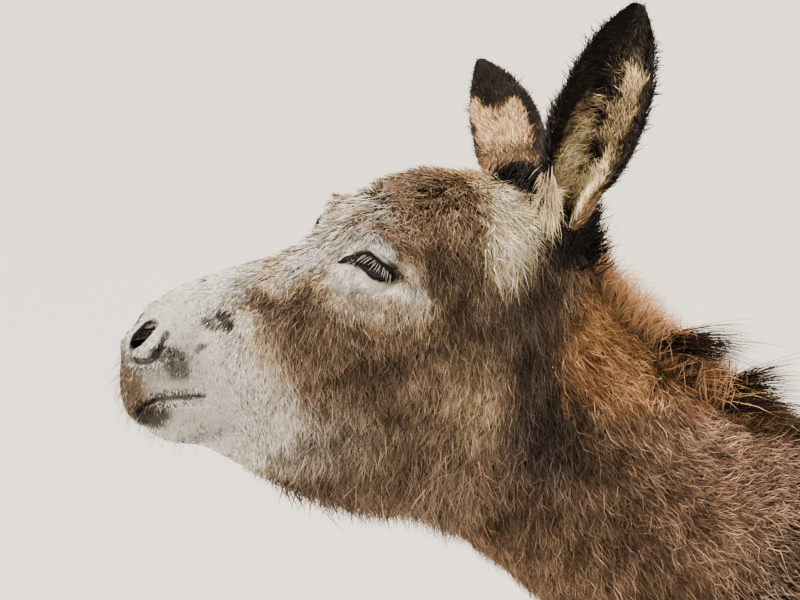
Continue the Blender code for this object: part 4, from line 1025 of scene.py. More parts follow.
def neckLie(places):
    # down beside the throat, then sweeping back and up towards the withers
    flow = everywhere((0.62, -0.02, -0.78), places)
    flow = paint(places, flow, [
        ((-0.42, 0, 1.10), (0.10, 0.5, 0.20), 0.6, np.array([0.18, 0.0, -0.98]), 1.0),
        ((-0.25, 0, 1.20), (0.12, 0.5, 0.08), 0.6, np.array([0.93, 0.0, -0.30]), 1.0),
        ((-0.12, 0, 1.02), (0.11, 0.5, 0.10), 0.6, np.array([0.86, 0.0, 0.42]), 0.9),
    ])
    whorl = places - np.array([-0.235, 0.0, 1.105])
    whorl[:, 1] = 0
    turned = unit(whorl) * 0.6 + np.stack([-whorl[:, 2], np.zeros(len(whorl)), whorl[:, 0]], axis=1) / 0.05 * -0.6
    share = 0.6 * (1 - smoothStep(0.02, 0.08, np.linalg.norm(whorl, axis=1)))
    return tint(flow, share, unit(turned))


def coatFields(places, normals, shares):
    left, side = bothSides(places)
    onHead = headLie(left)
    onHead[:, 0] *= side
    onTrunk = everywhere((0.92, 0.0, -0.38), places)
    onTrunk = paint(places, onTrunk, [((-0.25, 0, 0.80), (0.08, 0.5, 0.30), 0.6, np.array([0.35, 0.0, -0.94]), 1.0),
                                      ((0.72, 0, 0.80), (0.10, 0.5, 0.35), 0.6, np.array([0.25, 0.0, -0.97]), 1.0)])
    onLeg = everywhere((0.12, 0.0, -0.99), places)
    onTail = everywhere((0.10, 0.0, -0.99), places)
    lies = [onHead @ headTurn.T, neckLie(places), onTrunk, onLeg, onTail]
    flow = sum(lie * shares[:, k:k + 1] for k, lie in enumerate(lies))
    jitter = noiseVector(places, 0.030, 61)
    flow = unit(flow) + 0.30 * jitter * (1 - 0.7 * blob(left, (0, 0.45, -0.03), (0.2, 0.12, 0.2)))[:, None]
    flow = alongSkin(flow, normals)
    low, high = coat["legLength"]
    flat = np.ones(len(places))
    lengths = [scalarPaint(left, coat["headLength"], coat["headLengths"]), coat["neckLength"] * flat,
               coat["trunkLength"] * flat, low + (high - low) * smoothStep(0.10, 0.52, places[:, 2]),
               coat["tailLength"] * flat]
    lifts = [scalarPaint(left, coat["headLift"], coat["headLifts"])]
    lifts += [coat[key] * flat for key in ("neckLift", "trunkLift", "legLift", "tailLift")]
    length, lift = ((np.stack(values, axis=1) * shares).sum(axis=1) for values in (lengths, lifts))
    return flow, length, lift


def bareShare(places):
    # 1 where no hair grows: the lid edges, inside the nostrils, the line of the lips
    left, side = bothSides(places)
    along, across, out, away = eyeSpot(left)
    edge = outsideSlit(np.stack([along, across], axis=1))
    bare = ((away < 0.045) & (out > 0.001)) * (1 - smoothStep(0.0020, 0.0036, edge))
    bare = np.maximum(bare, cornerShare(left) * np.where(side < 0, 0.1, 1.0))
    fold = np.exp(-((edge - 0.0066) / 0.0011) ** 2) * ((away < 0.045) & (out > 0) & (across > 0.30 * along - 0.004))
    bare = np.maximum(bare, 0.9 * fold)
    nose = noseLocal(left, side)
    crease, _ = nearLine(nose, face["crease"])
    bare = np.maximum(bare, 1 - smoothStep(0.0012, 0.0034, crease))
    ring, out = nostrilSpot(nose)
    bare = np.maximum(bare, (out > -0.05) * (np.abs(left[:, 1] - 0.455) < 0.05) * (1 - smoothStep(1.00, 1.20, ring)))
    mouth, _ = nearLine(left, face["mouth"])
    return np.maximum(bare, 1 - smoothStep(0.0016, 0.0032, mouth))


# tufts: closed tapering hairs of a few faces each, joined by the thousand
tuftShape = {
    "lengths": (0.72, 1.22), "widths": (0.75, 1.25), "lifts": (0.55, 1.40),      # how hairs differ from each other
    "thickest": 0.42, "flatness": 0.6,      # where a short hair is thickest, and its thickness to its width
    "patchWide": 0.0014, "patchLong": 0.003,      # size of a hair on the unwrap
}


def buildTufts(name, roots, out, flow, length, width, lift, rootTone, tipTone, spots, seed, joints=1, lock=0.012,
               lockPull=0.5, lockTone=0.0, droop=0.0, curl=0.0, messy=0.16, sink=0.0012):
    rng = np.random.default_rng(seed)
    count = len(roots)
    length = np.broadcast_to(length, (count,)).astype(float) * rng.uniform(*tuftShape["lengths"], count)
    width = np.broadcast_to(width, (count,)) * rng.uniform(*tuftShape["widths"], count)
    lift = np.broadcast_to(lift, (count,)) * rng.uniform(*tuftShape["lifts"], count)
    side = np.cross(out, flow)
    turn = rng.normal(0, messy, count)
    flow = flow * np.cos(turn)[:, None] + side * np.sin(turn)[:, None]
    side = np.cross(out, flow)
    centre = nearestSeed(roots, lock, seed) if lock else roots
    pull = centre - roots
    pull -= out * (pull * out).sum(axis=1, keepdims=True)
    if lockTone:      # each lock has its own tone; brighter along its middle and darker at its edges, painted shade in the gaps between locks
        own = hashed(np.round(centre * 20000), seed + 3) * 2 - 1
        middle = 1 - np.linalg.norm(pull, axis=1) / (0.62 * lock)
        shade = np.exp(lockTone * (1.1 * own + 0.9 * np.clip(middle, -0.8, 1.0)))[:, None]
        rootTone, tipTone = rootTone * (0.5 + 0.5 * shade), tipTone * shade
    bend = curl * length * rng.normal(0, 1, count)
    steps = [0.0] + [(k + 1) / (joints + 1) for k in range(joints)] + [1.0]
    if joints == 1:
        steps[1] = tuftShape["thickest"]
    spine = []
    for f in steps:
        forward = length * np.cos(lift * 0.7) * f
        height = length * (np.sin(lift) * f - 0.5 * (np.sin(lift) - np.sin(lift * 0.25)) * f * f)
        point = roots - out * sink + flow * forward[:, None] + out * height[:, None]
        point = point + pull * (lockPull * f ** 1.4) + side * (bend * math.sin(math.pi * f))[:, None]
        point[:, 2] -= droop * length * f * f
        spine.append(point)
    points = np.empty((count, 2 + 3 * joints, 3))
    shades = np.empty((count, 2 + 3 * joints, 3))
    points[:, 0], points[:, -1] = spine[0], spine[-1]
    shades[:, 0], shades[:, -1] = rootTone, tipTone
    patch = np.zeros((2 + 3 * joints, 2))
    patch[-1] = (0, tuftShape["patchLong"])
    for j in range(joints):
        f = steps[j + 1]
        along = unit(spine[j + 2] - spine[j])
        across = unit(np.cross(along, out))
        up = np.cross(along, across) * -1
        across = np.cross(up, along)
        radius = 0.5 * width * (1.0 if joints == 1 else (1 - f) ** 0.35 * min(1.0, f * 3.0) ** 0.3)
        for k in range(3):
            angle = math.pi / 2 + k * 2 * math.pi / 3
            points[:, 1 + 3 * j + k] = (spine[j + 1] + across * (radius * math.cos(angle))[:, None]
                                        + up * (tuftShape["flatness"] * radius * math.sin(angle))[:, None])
            shades[:, 1 + 3 * j + k] = rootTone + (tipTone - rootTone) * min(1.0, f * 1.35)
            patch[1 + 3 * j + k] = ((k - 1) * tuftShape["patchWide"], f * tuftShape["patchLong"])
    faces = [(1 + (k + 1) % 3, 1 + k, 0) for k in range(3)]
    for j in range(joints - 1):
        for k in range(3):
            a, b, c, d = 1 + 3 * j + k, 1 + 3 * j + (k + 1) % 3, 4 + 3 * j + (k + 1) % 3, 4 + 3 * j + k
            faces += [(a, b, c), (a, c, d)]
    faces += [(1 + 3 * (joints - 1) + k, 1 + 3 * (joints - 1) + (k + 1) % 3, 1 + 3 * joints) for k in range(3)]
    faces = np.array(faces)
    per = 2 + 3 * joints
    corners = (faces[None] + (np.arange(count) * per)[:, None, None]).reshape(-1)
    mesh = bpy.data.meshes.new(name)
    mesh.vertices.add(count * per)
    mesh.vertices.foreach_set("co", points.astype(np.float32).ravel())
    mesh.loops.add(len(corners))
    mesh.loops.foreach_set("vertex_index", corners.astype(np.int32))
    mesh.polygons.add(len(corners) // 3)
    mesh.polygons.foreach_set("loop_start", np.arange(0, len(corners), 3, dtype=np.int32))
    mesh.update(calc_edges=True)
    mesh.shade_smooth()
    setColours(mesh, shades.reshape(-1, 3))
    layer = mesh.uv_layers.new(name="OFBake")
    flat = (np.asarray(spots)[:, None] + patch[None]).reshape(-1, 2)[corners]
    layer.data.foreach_set("uv", flat.astype(np.float32).ravel())
    print(name, count, "tufts,", len(mesh.polygons), "triangles")
    return addPiece(name, mesh)


def triangleCorners(mesh):
    mesh.calc_loop_triangles()
    corners = np.empty(len(mesh.loop_triangles) * 3, dtype=np.int64)
    mesh.loop_triangles.foreach_get("vertices", corners)
    return corners.reshape(-1, 3)


def scatter(places, corners, weight, count, seed):
    # evenly drawn points on the faces, more where the weight is higher
    rng = np.random.default_rng(seed)
    a, b, c = (places[corners[:, k]] for k in range(3))
    area = 0.5 * np.linalg.norm(np.cross(b - a, c - a), axis=1)
    total = np.cumsum(area * weight[corners].mean(axis=1))
    picks = np.searchsorted(total, (np.arange(count) + rng.uniform(0, 1, count)) / count * total[-1])
    picks = np.clip(picks, 0, len(corners) - 1)
    u, v = rng.uniform(0, 1, count), rng.uniform(0, 1, count)
    u, v = np.where(u + v > 1, 1 - u, u), np.where(u + v > 1, 1 - v, v)
    return corners[picks], np.stack([1 - u - v, u, v], axis=1)


def at(values, corners, share):
    return np.einsum("nk,nk...->n...", share, values[corners])


def fitSpots(along, around):
    # the unwrap of a region: how far along it a root stands, and how far round
    along, around = (np.asarray(v, dtype=float) for v in (along, around))
    flat = np.stack([(v - v.min()) / max(np.ptp(v), 1e-6) for v in (along, around)], axis=1)
    return 0.004 + flat * 0.988


print("coat: fields")
skinMesh = skin.data
skinPlaces, skinNormals, skinEdges = placesOf(skinMesh), normalsOf(skinMesh), edgesOf(skinMesh)
headLocal, _ = bothSides(skinPlaces)
skinShares = regionShares(skinMesh, 30)
flow, hairLength, hairLift = coatFields(skinPlaces, skinNormals, skinShares)
for _ in range(3):      # no sudden turns between neighbouring hairs
    flow = 0.5 * flow + 0.5 * neighbourMean(skinEdges, flow)
flow = alongSkin(flow, skinNormals)
skinTone = allColours(skinPlaces, skinShares)
bare = bareShare(skinPlaces)

# the ears have their own tones and lie: heights as a share of the way up, hair in metres
earCoat = {
    "patchRoot": 0.17, "patchTop": 0.54, "tip": (0.67, 0.76),
    # heights with the edge of the dark rim, and with the brightness of the pale hair in the cup
    "leftRim": ((0.26, 0.45, 0.63, 0.72, 0.80), (-0.72, -0.60, -0.34, -0.10, 0.60)),
    "paleness": ((0.0, 0.22, 0.45), (1.0, 0.85, 0.62)),
    "inside": 0.021, "outside": 0.0100, "rimMore": 0.0045, "fleeceMore": 0.010, "footMore": 0.007,
    "insideLift": 0.85, "outsideLift": 0.42,
}
earRim, earMore, earUnder = np.zeros(len(skinPlaces)), np.zeros(len(skinPlaces)), np.full(len(skinPlaces), 0.6)
earOwner = np.zeros(len(skinPlaces), dtype=int)
earOwner[headPoints:headPoints + earCounts[0]] = 1
earOwner[headPoints + earCounts[0]:] = 2


def earSpot(word, places, normals):
    base, axis, opening, across = earFrame(word)
    root = base + axis * ears["rootRise"]
    away = places - root
    rise = (away @ axis) / (ears["length"] - ears["rootRise"])
    level = np.clip(rise, 0, 1)
    depth, half = (np.interp(level, ears["levels"], ears[key]) for key in ("depths", "halves"))
    back = ears["bow"] * np.sin(math.pi * level) + ears["back"]
    deep = away @ opening - back
    reach = away @ across
    hollow = root + axis * (away @ axis)[:, None] + opening * (back + depth * 0.8)[:, None]
    inner = ((hollow - places) * normals).sum(axis=1) > 0
    return rise, deep / depth, reach / half, inner, unit(hollow - places), axis


def dressEar(word, mine):
    near = word == "left"
    spot = skinPlaces[mine]
    rise, deep, reach, inner, inwards, axis = earSpot(word, spot, skinNormals[mine])
    ragged = softNoise(spot, 0.012, 71) + 0.6 * softNoise(spot, 0.005, 72)
    turned = -reach if near else reach
    # behind: dark above, a pale fleecy patch that the dark enters as a wedge, brown at the root
    # the far ear's back is painted darker than the near ear's: painted shade
    back = everywhere(tones["earBack"] * (0.6 if near else 0.24), spot)
    top = earCoat["patchTop"] + 0.38 * np.maximum(turned - 0.05, 0) + 0.12 * np.maximum(0.05 - turned, 0)
    top = top + 0.05 * ragged
    root = earCoat["patchRoot"] + 0.26 * np.maximum(turned, 0) + 0.03 * ragged
    fleece = (1 - smoothStep(-0.08, 0.05, rise - top)) * smoothStep(-0.04, 0.06, rise - root)
    fleece = fleece * (1 - smoothStep(0.55, 0.80, np.abs(reach) + 0.06 * ragged))
    if near:
        fleece = fleece * (1 - smoothStep(0.25, 0.55, np.abs(reach)))
    back = tint(back, fleece * 0.9, tones["earCream"] * np.array([0.86, 0.68, 0.58]))
    back = tint(back, (1 - smoothStep(-0.06, 0.04, rise - root)) * 0.9, tones["poll"] * 0.55)
    middle = everywhere(tones["earEdge"] * 1.3, spot)
    # the dark gap down the middle wanders
    gap = (0.20 + 0.12 * softNoise(spot, 0.018, 73) + 0.08 * ragged) * smoothStep(0.06, 0.20, rise)
    pale = np.interp(rise, *earCoat["paleness"])[:, None] * np.array([1.0, 0.93, 0.82])
    mottled = (0.72 + 0.30 * softNoise(spot, 0.005, 76)) * smoothStep(-0.1, 0.3, reach) * smoothStep(0.15, 0.35, rise)
    pale = pale * (1.25 - mottled)[:, None]
    middle = tint(middle, smoothStep(gap - 0.03, gap + 0.08, deep), tones["earCream"] * pale)
    tone = np.where(inner[:, None], middle, back)
    leftRim = np.interp(rise, *earCoat["leftRim"])
    rightRim = smoothStep(0.66, 0.80, reach + 0.05 * ragged)
    rim = np.maximum(smoothStep(-0.06, 0.06, leftRim - reach + 0.05 * ragged), rightRim) * inner
    rim = np.maximum(rim, ~inner * smoothStep(0.62, 0.84, deep + 0.06 * ragged)) * smoothStep(0.08, 0.22, rise)
    tone = tint(tone, rim, tones["earEdge"])
    tip = smoothStep(*earCoat["tip"], rise + 0.04 * ragged)
    tone = tint(tone, tip * (1.0 if near else 0.35), tones["earEdge"])
    # dark wool at the front of the near ear's foot, partly standing in for painted shadow on the ear's front base
    foot = ~inner * (1 - smoothStep(0.42, 0.56, rise)) * smoothStep(0.2, 0.6, -reach) * near
    tone = tint(tone, foot, tones["earEdge"])
    skinTone[mine] = tone
    outwards = axis * 0.75 + earFrame(word)[3] * (np.sign(reach) * 0.85)[:, None]
    inCup = axis * np.where(turned > 0, 0.15, 0.80)[:, None] + inwards * np.where(turned > 0, 1.0, 0.5)[:, None]
    lie = np.where(inner[:, None], inCup, np.where((rim > 0.5)[:, None], outwards, axis))
    lie = lie + 0.45 * noiseVector(spot, 0.010, 74)
    normals = skinNormals[mine]
    flow[mine] = alongSkin(lie, normals)
    long = inner & (rim < 0.6)
    inside = earCoat["inside"] * (1 - 0.45 * smoothStep(0.55, 0.9, rise))
    outside = earCoat["outside"] + earCoat["rimMore"] * (rim > 0.5) * ~inner * (1 - smoothStep(0.75, 0.95, rise))
    hairLength[mine] = np.where(long, inside, outside)
    hairLength[mine] += ~inner * (earCoat["fleeceMore"] * fleece + earCoat["footMore"] * foot)
    earRim[mine] = rim * ~inner
    # painted shade on the ear's skin under its hair
    earUnder[mine] = np.where(long, 0.30, 0.6)
    earMore[mine] = long * (2.2 if near else 0.4) + (not near) * ~inner * 0.6
    hairLength[mine] *= 1 - 0.45 * smoothStep(0.86, 0.97, rise)
    hairLift[mine] = np.where(long, earCoat["insideLift"], earCoat["outsideLift"] + 0.35 * fleece + 0.5 * foot)
    bare[mine] = np.where(inner & (rim < 0.5), (1 - smoothStep(gap - 0.02, gap + 0.14, deep)) * 0.9, 0.0)


dressEar("left", earOwner == 1)
dressEar("right", earOwner == 2)
# the far eye lies behind its brow
hairLength = np.maximum(hairLength,
                        0.020 * blob(headLocal, (0.055, 0.262, 0.020), (0.032, 0.040, 0.030), 0.4) * (earOwner == 0))
speck = speckShare(headLocal)
headShare, neckShare, trunkShare, legShare = (skinShares[:, k] for k in range(4))
underTone = skinTone * (1 - 0.65 * np.where(earOwner > 0, 0, speck))[:, None]
# at the brow the skin's painted shade is lifted: painted light over the dark gap where the hair parts
browShadeLifted = 0.85 * blob(headLocal, (-0.046, 0.228, 0.024), (0.022, 0.020, 0.016), 0.4)
deepness = np.where(earOwner > 0, earUnder, np.maximum(0.30 + 0.42 * underTone.mean(axis=1), browShadeLifted))
setColours(skinMesh, underTone * deepness[:, None])      # darker than the hair, as in its shade
finishPiece(skin, skinMaterial, "coat_brown", *flesh, "ear_left", "ear_right")
skinCorners = triangleCorners(skinMesh)


def rootsOn(weight, count, seed):
    corners, share = scatter(skinPlaces, skinCorners, weight, count, seed)
    return at(skinPlaces, corners, share), unit(at(skinNormals, corners, share))


def growCoat(name, chosen, count, width, seed, spotOf, joints=1, longer=1.0, spread=1.0, **settings):
    weight = chosen * (1 - bare)
    corners, share = scatter(skinPlaces, skinCorners, weight, count, seed)
    roots, out = at(skinPlaces, corners, share), unit(at(skinNormals, corners, share))
    lie = alongSkin(at(flow, corners, share), out)
    long, lift = at(hairLength, corners, share) * longer, at(hairLift, corners, share)
    tone = at(skinTone, corners, share)
    onEar = at(1.0 * (earOwner > 0), corners, share) > 0.5
    shown = roots + lie * (0.55 * long)[:, None]      # the markings stand where the hair shows, not where it is rooted
    tone = np.where(onEar[:, None], tone, allColours(shown, at(skinShares, corners, share)))
    rng = np.random.default_rng(seed + 5)
    local = inHead(roots)      # long waves of tone down the cheek
    wavy = np.stack([local[:, 0], local @ np.array([0, 0.3, -0.2]), local @ np.array([0, 0.927, 0.375])], axis=1)
    waves = sum(strength * softNoise(roots, size, 7 + k) for k, (size, strength) in enumerate(coat["clumps"]))
    waves = waves + coat["streaks"][1] * softNoise(wavy, coat["streaks"][0], 9)
    bright = tone.mean(axis=1)
    shade = np.exp(spread * coat["hairTone"] * rng.normal(0, 1, count) * (1 - 0.12 * bright)
                   + waves * (1 - 0.66 * bright))
    for part, factor in (coat["pale"], coat["dark"]):
        shade = shade * np.where(rng.uniform(0, 1, count) < part * spread ** 2, factor, 1.0)
    shade = np.clip(shade, 0.20, 2.6)[:, None]
    dotted = ((rng.uniform(0, 1, count) < speckShare(bothSides(shown)[0])) & ~onEar
              & (at(headShare, corners, share) > 0.3))
    tone = np.where(dotted[:, None], tones["mottle"], tone)
    wide = np.clip(width * (long / 0.024) ** 0.40, *coat["thickness"])
    # roots painted darker than tips: partly painted shade deep in the coat, partly sun-pale tips
    rootTone = tone * shade * coat["rootTone"]
    tipTone = tone * shade * coat["tipTone"] + 0.022 * shade * tones["cream"]
    piece = buildTufts(name, roots, out, lie, long, wide, lift, rootTone, tipTone, spotOf(roots), seed, joints,
                       **settings)
    finishPiece(piece, hairMaterial, "coat_brown")


def headSpots(roots):
    local = inHead(roots)
    return fitSpots(local[:, 1], np.arctan2(local[:, 0], local[:, 2] + 0.12))


def trunkSpots(roots):
    return fitSpots(roots[:, 0], np.arctan2(roots[:, 1] - bodyMiddle, roots[:, 2] - 0.78))


def neckSpots(roots):
    along = roots @ np.array([0.80, 0, -0.60])
    up = (roots - np.array([-0.25, bodyMiddle, 1.02])) @ np.array([0.60, 0, 0.80])
    return fitSpots(along, np.arctan2(roots[:, 1] - bodyMiddle, up))


def legSpots(roots):
    quarter = (roots[:, 0] > 0.25) * 2 + (roots[:, 1] > bodyMiddle)
    centres = np.array([[-0.15, -0.13], [-0.12, 0.09], [0.63, -0.13], [0.69, 0.09]])[quarter]
    turn = np.arctan2(roots[:, 1] - centres[:, 1], roots[:, 0] - centres[:, 0]) / (2 * math.pi) + 0.5
    return fitSpots(roots[:, 2], (quarter + 0.02 + 0.96 * turn) / 4)


def earSpots(roots):
    local = inHead(roots)
    return fitSpots(local @ np.array([0, -0.6, 0.8]), local[:, 0] + 0.2 * (local[:, 0] > 0))


leftSide = inHead(skinPlaces)[:, 0] < 0
body = earOwner == 0
onMuzzle = blob(headLocal, (-0.04, 0.47, -0.03), (0.14, 0.14, 0.18), 0.25)
fineFace = (1 + 1.8 * blob(headLocal, (-0.07, 0.216, 0.0), (0.06, 0.06, 0.05), 0.4)
            + 0.8 * blob(headLocal, (-0.05, 0.33, 0.0), (0.08, 0.07, 0.06), 0.5))
fewer = 1

print("coat: tufts")
leftBody = skinPlaces[:, 1] < bodyMiddle
onHead, onNeck, onTrunk = headShare * body, neckShare * body, (trunkShare + skinShares[:, 4]) * body
trunkLie = dict(spread=0.6, lock=0.016, lockPull=0.75, lockTone=0.30, droop=0.10, messy=0.30, curl=0.20)
# name, where it grows, hairs, width, seed, unwrap, and how the hairs gather and lie
coatPieces = [
    ("coat_muzzle", onHead * onMuzzle, 33000, 0.0020, 100, headSpots,
     dict(lock=0.0045, lockPull=0.5, lockTone=0.16, messy=0.30)),
    ("coat_head_left", onHead * leftSide * (1 - onMuzzle) * fineFace, 33000, 0.0015, 101, headSpots,
     dict(lock=0.0065, lockPull=0.6, lockTone=0.34, droop=0.08, messy=0.30, curl=0.16)),
    ("coat_head_left_long", onHead * leftSide * (1 - onMuzzle), 12000, 0.0013, 111, headSpots,
     dict(lock=0.0085, lockPull=0.75, lockTone=0.34, droop=0.12, messy=0.34, curl=0.25, longer=1.25)),
    ("coat_head_right", onHead * ~leftSide * (1 - onMuzzle) * fineFace, 16500, 0.0026, 102, headSpots,
     dict(lock=0.0075, lockPull=0.75, lockTone=0.30, droop=0.08, messy=0.34, curl=0.16)),
    ("coat_neck_left", onNeck * leftSide, 33000, 0.0016, 103, neckSpots,
     dict(lock=0.0120, lockPull=0.8, lockTone=0.50, droop=0.10, messy=0.28, curl=0.24)),
    ("coat_neck_left_long", onNeck * leftSide, 10000, 0.0011, 113, neckSpots,
     dict(joints=2, spread=0.8, lock=0.0170, lockPull=0.75, lockTone=0.44, droop=0.14, messy=0.30, curl=0.26,
          longer=1.35)),
    ("coat_neck_right", onNeck * ~leftSide, 12500, 0.0036, 104, neckSpots,
     dict(lock=0.0100, lockPull=0.85, lockTone=0.34, droop=0.10, messy=0.42, curl=0.30)),
    ("coat_trunk_left", onTrunk * leftBody, 15500, 0.0036, 105, trunkSpots, trunkLie),
    ("coat_trunk_right", onTrunk * ~leftBody, 15500, 0.0036, 106, trunkSpots, trunkLie),
    ("coat_legs", legShare * body, 10500, 0.0029, 107, legSpots,
     dict(spread=0.45, lock=0.010, lockPull=0.4, lockTone=0.15)),
    ("coat_ears", (earOwner > 0) * (1 + 1.5 * earRim + earMore), 27000, 0.0014, 108, earSpots,
     dict(lock=0.0060, lockPull=0.40, lockTone=0.30, curl=0.12, messy=0.30)),
]
for name, chosen, count, width, seed, spotOf, settings in coatPieces:
    growCoat(name, chosen, count // fewer, width, seed, spotOf, **settings)


# eyes
eyeShape = {"rings": 32, "segments": 48, "corneaWide": 0.0150, "corneaRise": 0.0012, "forward": 18}


def makeEye(word):
    sign = -1 if word == "left" else 1
    centre = headMatrix @ Vector((sign * headPose["eye"][0], headPose["eye"][1], headPose["eye"][2]))
    deselectAll()
    bpy.ops.mesh.primitive_uv_sphere_add(segments=eyeShape["segments"], ring_count=eyeShape["rings"],
                                         radius=eyeRadius, location=centre)
    piece = bpy.context.object
    piece.name = f"eyeball_{word}"
    bpy.ops.object.transform_apply(location=True, rotation=True, scale=True)
    mesh = piece.data
    turn = math.radians(eyeShape["forward"])
    look = unit(np.array([sign * math.cos(turn), math.sin(turn), 0.02]))
    local = inHead(placesOf(mesh)) - eyeCentre * np.array([-sign, 1, 1])
    out = local @ look
    away = np.linalg.norm(local - out[:, None] * look, axis=1)
    rise = eyeShape["corneaRise"] * (1 - smoothStep(0, eyeShape["corneaWide"], away)) * (out > 0)
    spot = np.stack([local @ unit(slitAlong - look * (slitAlong @ look)), local @ slitAcross, out], axis=1) * 1000
    local = local + look * rise[:, None]
    setPlaces(mesh, outOfHead(local + eyeCentre * np.array([-sign, 1, 1])))
    layer = mesh.attributes.new("eyeSpot", "FLOAT_VECTOR", "POINT")
    layer.data.foreach_set("vector", spot.astype(np.float32).ravel())
    mesh.shade_smooth()
    finishPiece(piece, eyeMaterial, "eye", f"eye_{word}")


lidShape = {"rim": 0.0012, "rimWave": 0.0002, "rimFlat": 0.75, "corner": 0.0062, "cornerTip": 0.0005,
            "cornerFlat": 0.45, "sides": 10, "points": 72, "overBall": 0.0009}


def makeRoll(name, path, away, wide, high, closed, side=1):
    # a roll along a path in head coordinates, closed into a ring or capped at both ends; side -1 mirrors it
    ahead = np.roll(path, -1, axis=0) - np.roll(path, 1, axis=0) if closed else np.gradient(path, axis=0)
    across = unit(np.cross(unit(ahead), away))
    sides = lidShape["sides"]
    shape = bmesh.new()
    rows = []
    for k in range(len(path)):
        ring = [path[k] + across[k] * wide[k] * math.cos(a) + away[k] * high[k] * math.sin(a)
                for a in np.arange(sides) / sides * 2 * math.pi]
        rows.append([shape.verts.new(spot) for spot in outOfHead(np.array(ring) * np.array([side, 1, 1]))])
    for row, following in zip(rows, rows[1:] + rows[:1] * closed):
        for j in range(sides):
            shape.faces.new((row[j], row[(j + 1) % sides], following[(j + 1) % sides], following[j]))
    if not closed:
        shape.faces.new(rows[0])
        shape.faces.new(rows[-1])
    bmesh.ops.recalc_face_normals(shape, faces=shape.faces)
    mesh = bpy.data.meshes.new(name)
    shape.to_mesh(mesh)
    shape.free()
    mesh.shade_smooth()
    finishPiece(addPiece(name, mesh), lidMaterial, "eye")


def overBall(flat, shell):
    # points of the slit's plane laid on a ball round the eye's centre
    out = np.sqrt(np.maximum(shell ** 2 - (flat ** 2).sum(axis=1), 0))
    return eyeCentre + slitAlong * flat[:, :1] + slitAcross * flat[:, 1:] + np.array([-1, 0, 0]) * out[:, None]


def makeLidRim(word):
    # the moist edge of both lids: one closed roll round the opening
    path = overBall(smoothLoop(face["slit"], lidShape["points"]) / 1000, eyeRadius + lidShape["overBall"])
    away = unit(path - eyeCentre)
    for values in (path, away):
        values[:, 0] *= 1 if word == "left" else -1
    thick = lidShape["rim"] + lidShape["rimWave"] * np.sin(np.arange(len(path)) * 1.7)
    makeRoll(f"lid_rim_{word}", path, away, thick, lidShape["rimFlat"] * thick, True)


def makeTearCorner(word):
    # bare moist skin in front of the lids: a flat tapering roll that lies in the corner,
    # the right one deeper in the fur
    path = smoothOpen(np.array(face["tearCorner"]) + np.array([-0.0006 if word == "left" else 0.0085, 0, 0]), 14)
    away = everywhere(unit(np.array([-0.75, 0.62, 0.25])), path)
    f = np.linspace(0, 1, len(path))
    wide = lidShape["corner"] * (1 - f) ** 0.7 * np.minimum(1.0, 0.55 + f * 3) + lidShape["cornerTip"]
    side = 1 if word == "left" else -1
    makeRoll(f"tear_corner_{word}", path, away, wide, lidShape["cornerFlat"] * wide, False, side)


lashes = {"hairs": 26, "long": 0.0140, "wide": 0.00055, "lift": 0.24, "overBall": 0.0018, "tone": "d9d6d2"}


def makeLashes(word, seed):
    # pale lashes hang from the upper lid over the ball, with a few short ones below
    sign = -1 if word == "left" else 1
    rng = np.random.default_rng(seed)
    upper = smoothLoop(face["slit"], 240)[8:118] / 1000
    picks = np.linspace(0, len(upper) - 1, lashes["hairs"]).astype(int)
    flat = upper[picks] + rng.normal(0, 0.0002, (len(picks), 2))
    local = overBall(flat, eyeRadius + lashes["overBall"])
    normal = unit(local - eyeCentre)
    lie = -slitAcross + slitAlong * (0.38 + 37.0 * flat[:, :1])
    lie = alongSkin(lie, normal)
    for values in (local, normal, lie):
        values[:, 0] *= -sign
    tone = colour(lashes["tone"]) * rng.uniform(0.75, 1.05, len(picks))[:, None]
    spots = fitSpots(flat[:, 0], flat[:, 1])
    piece = buildTufts(f"lashes_{word}", outOfHead(local), normal @ headTurn.T, lie @ headTurn.T, lashes["long"],
                       lashes["wide"], lashes["lift"], tone * 0.8, tone, spots, seed,
                       joints=3, lock=None, curl=0.04, sink=0.0006)
    finishPiece(piece, hairMaterial, "coat_brown")


print("eyes")
for word, seed in (("left", 201), ("right", 202)):
    makeEye(word)
    makeLidRim(word)
    makeTearCorner(word)
    makeLashes(word, seed)


# mane, tail, whiskers
print("mane and tail")
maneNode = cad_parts["mane"]
maneSpots = kdtree.KDTree(len(maneNode.data.vertices))
for k, place in enumerate(placesOf(maneNode.data)):
    maneSpots.insert(place, k)
maneSpots.balance()
nearMane = np.array([maneSpots.find(place)[2] if body[k] and place[0] < 0.05 and place[2] > 1.0 else 1.0
                     for k, place in enumerate(skinPlaces)])
crestWeight = (1 - smoothStep(0.020, 0.032, nearMane)) * body


mane = {
    "wool": 5600, "woolWide": 0.0014, "woolLong": 0.052, "woolShort": 0.022,
    "wisps": 330, "wispWide": 0.0010, "wispLong": 0.088,
    "black": 2100, "blackWide": 0.0024, "blackLong": (0.040, 0.050),      # between the ears and behind them
    "lockWide": 0.0013,
    "locks": [
        # root, tip, width of the root and of the tip, hairs
        ((-0.242, -0.040, 1.140), (-0.128, -0.044, 1.160), 0.008, 0.019, 330),
        ((-0.160, -0.040, 1.084), (-0.082, -0.046, 1.142), 0.007, 0.011, 210),
        ((-0.160, -0.044, 1.064), (-0.060, -0.054, 1.096), 0.007, 0.011, 210),
    ],
}


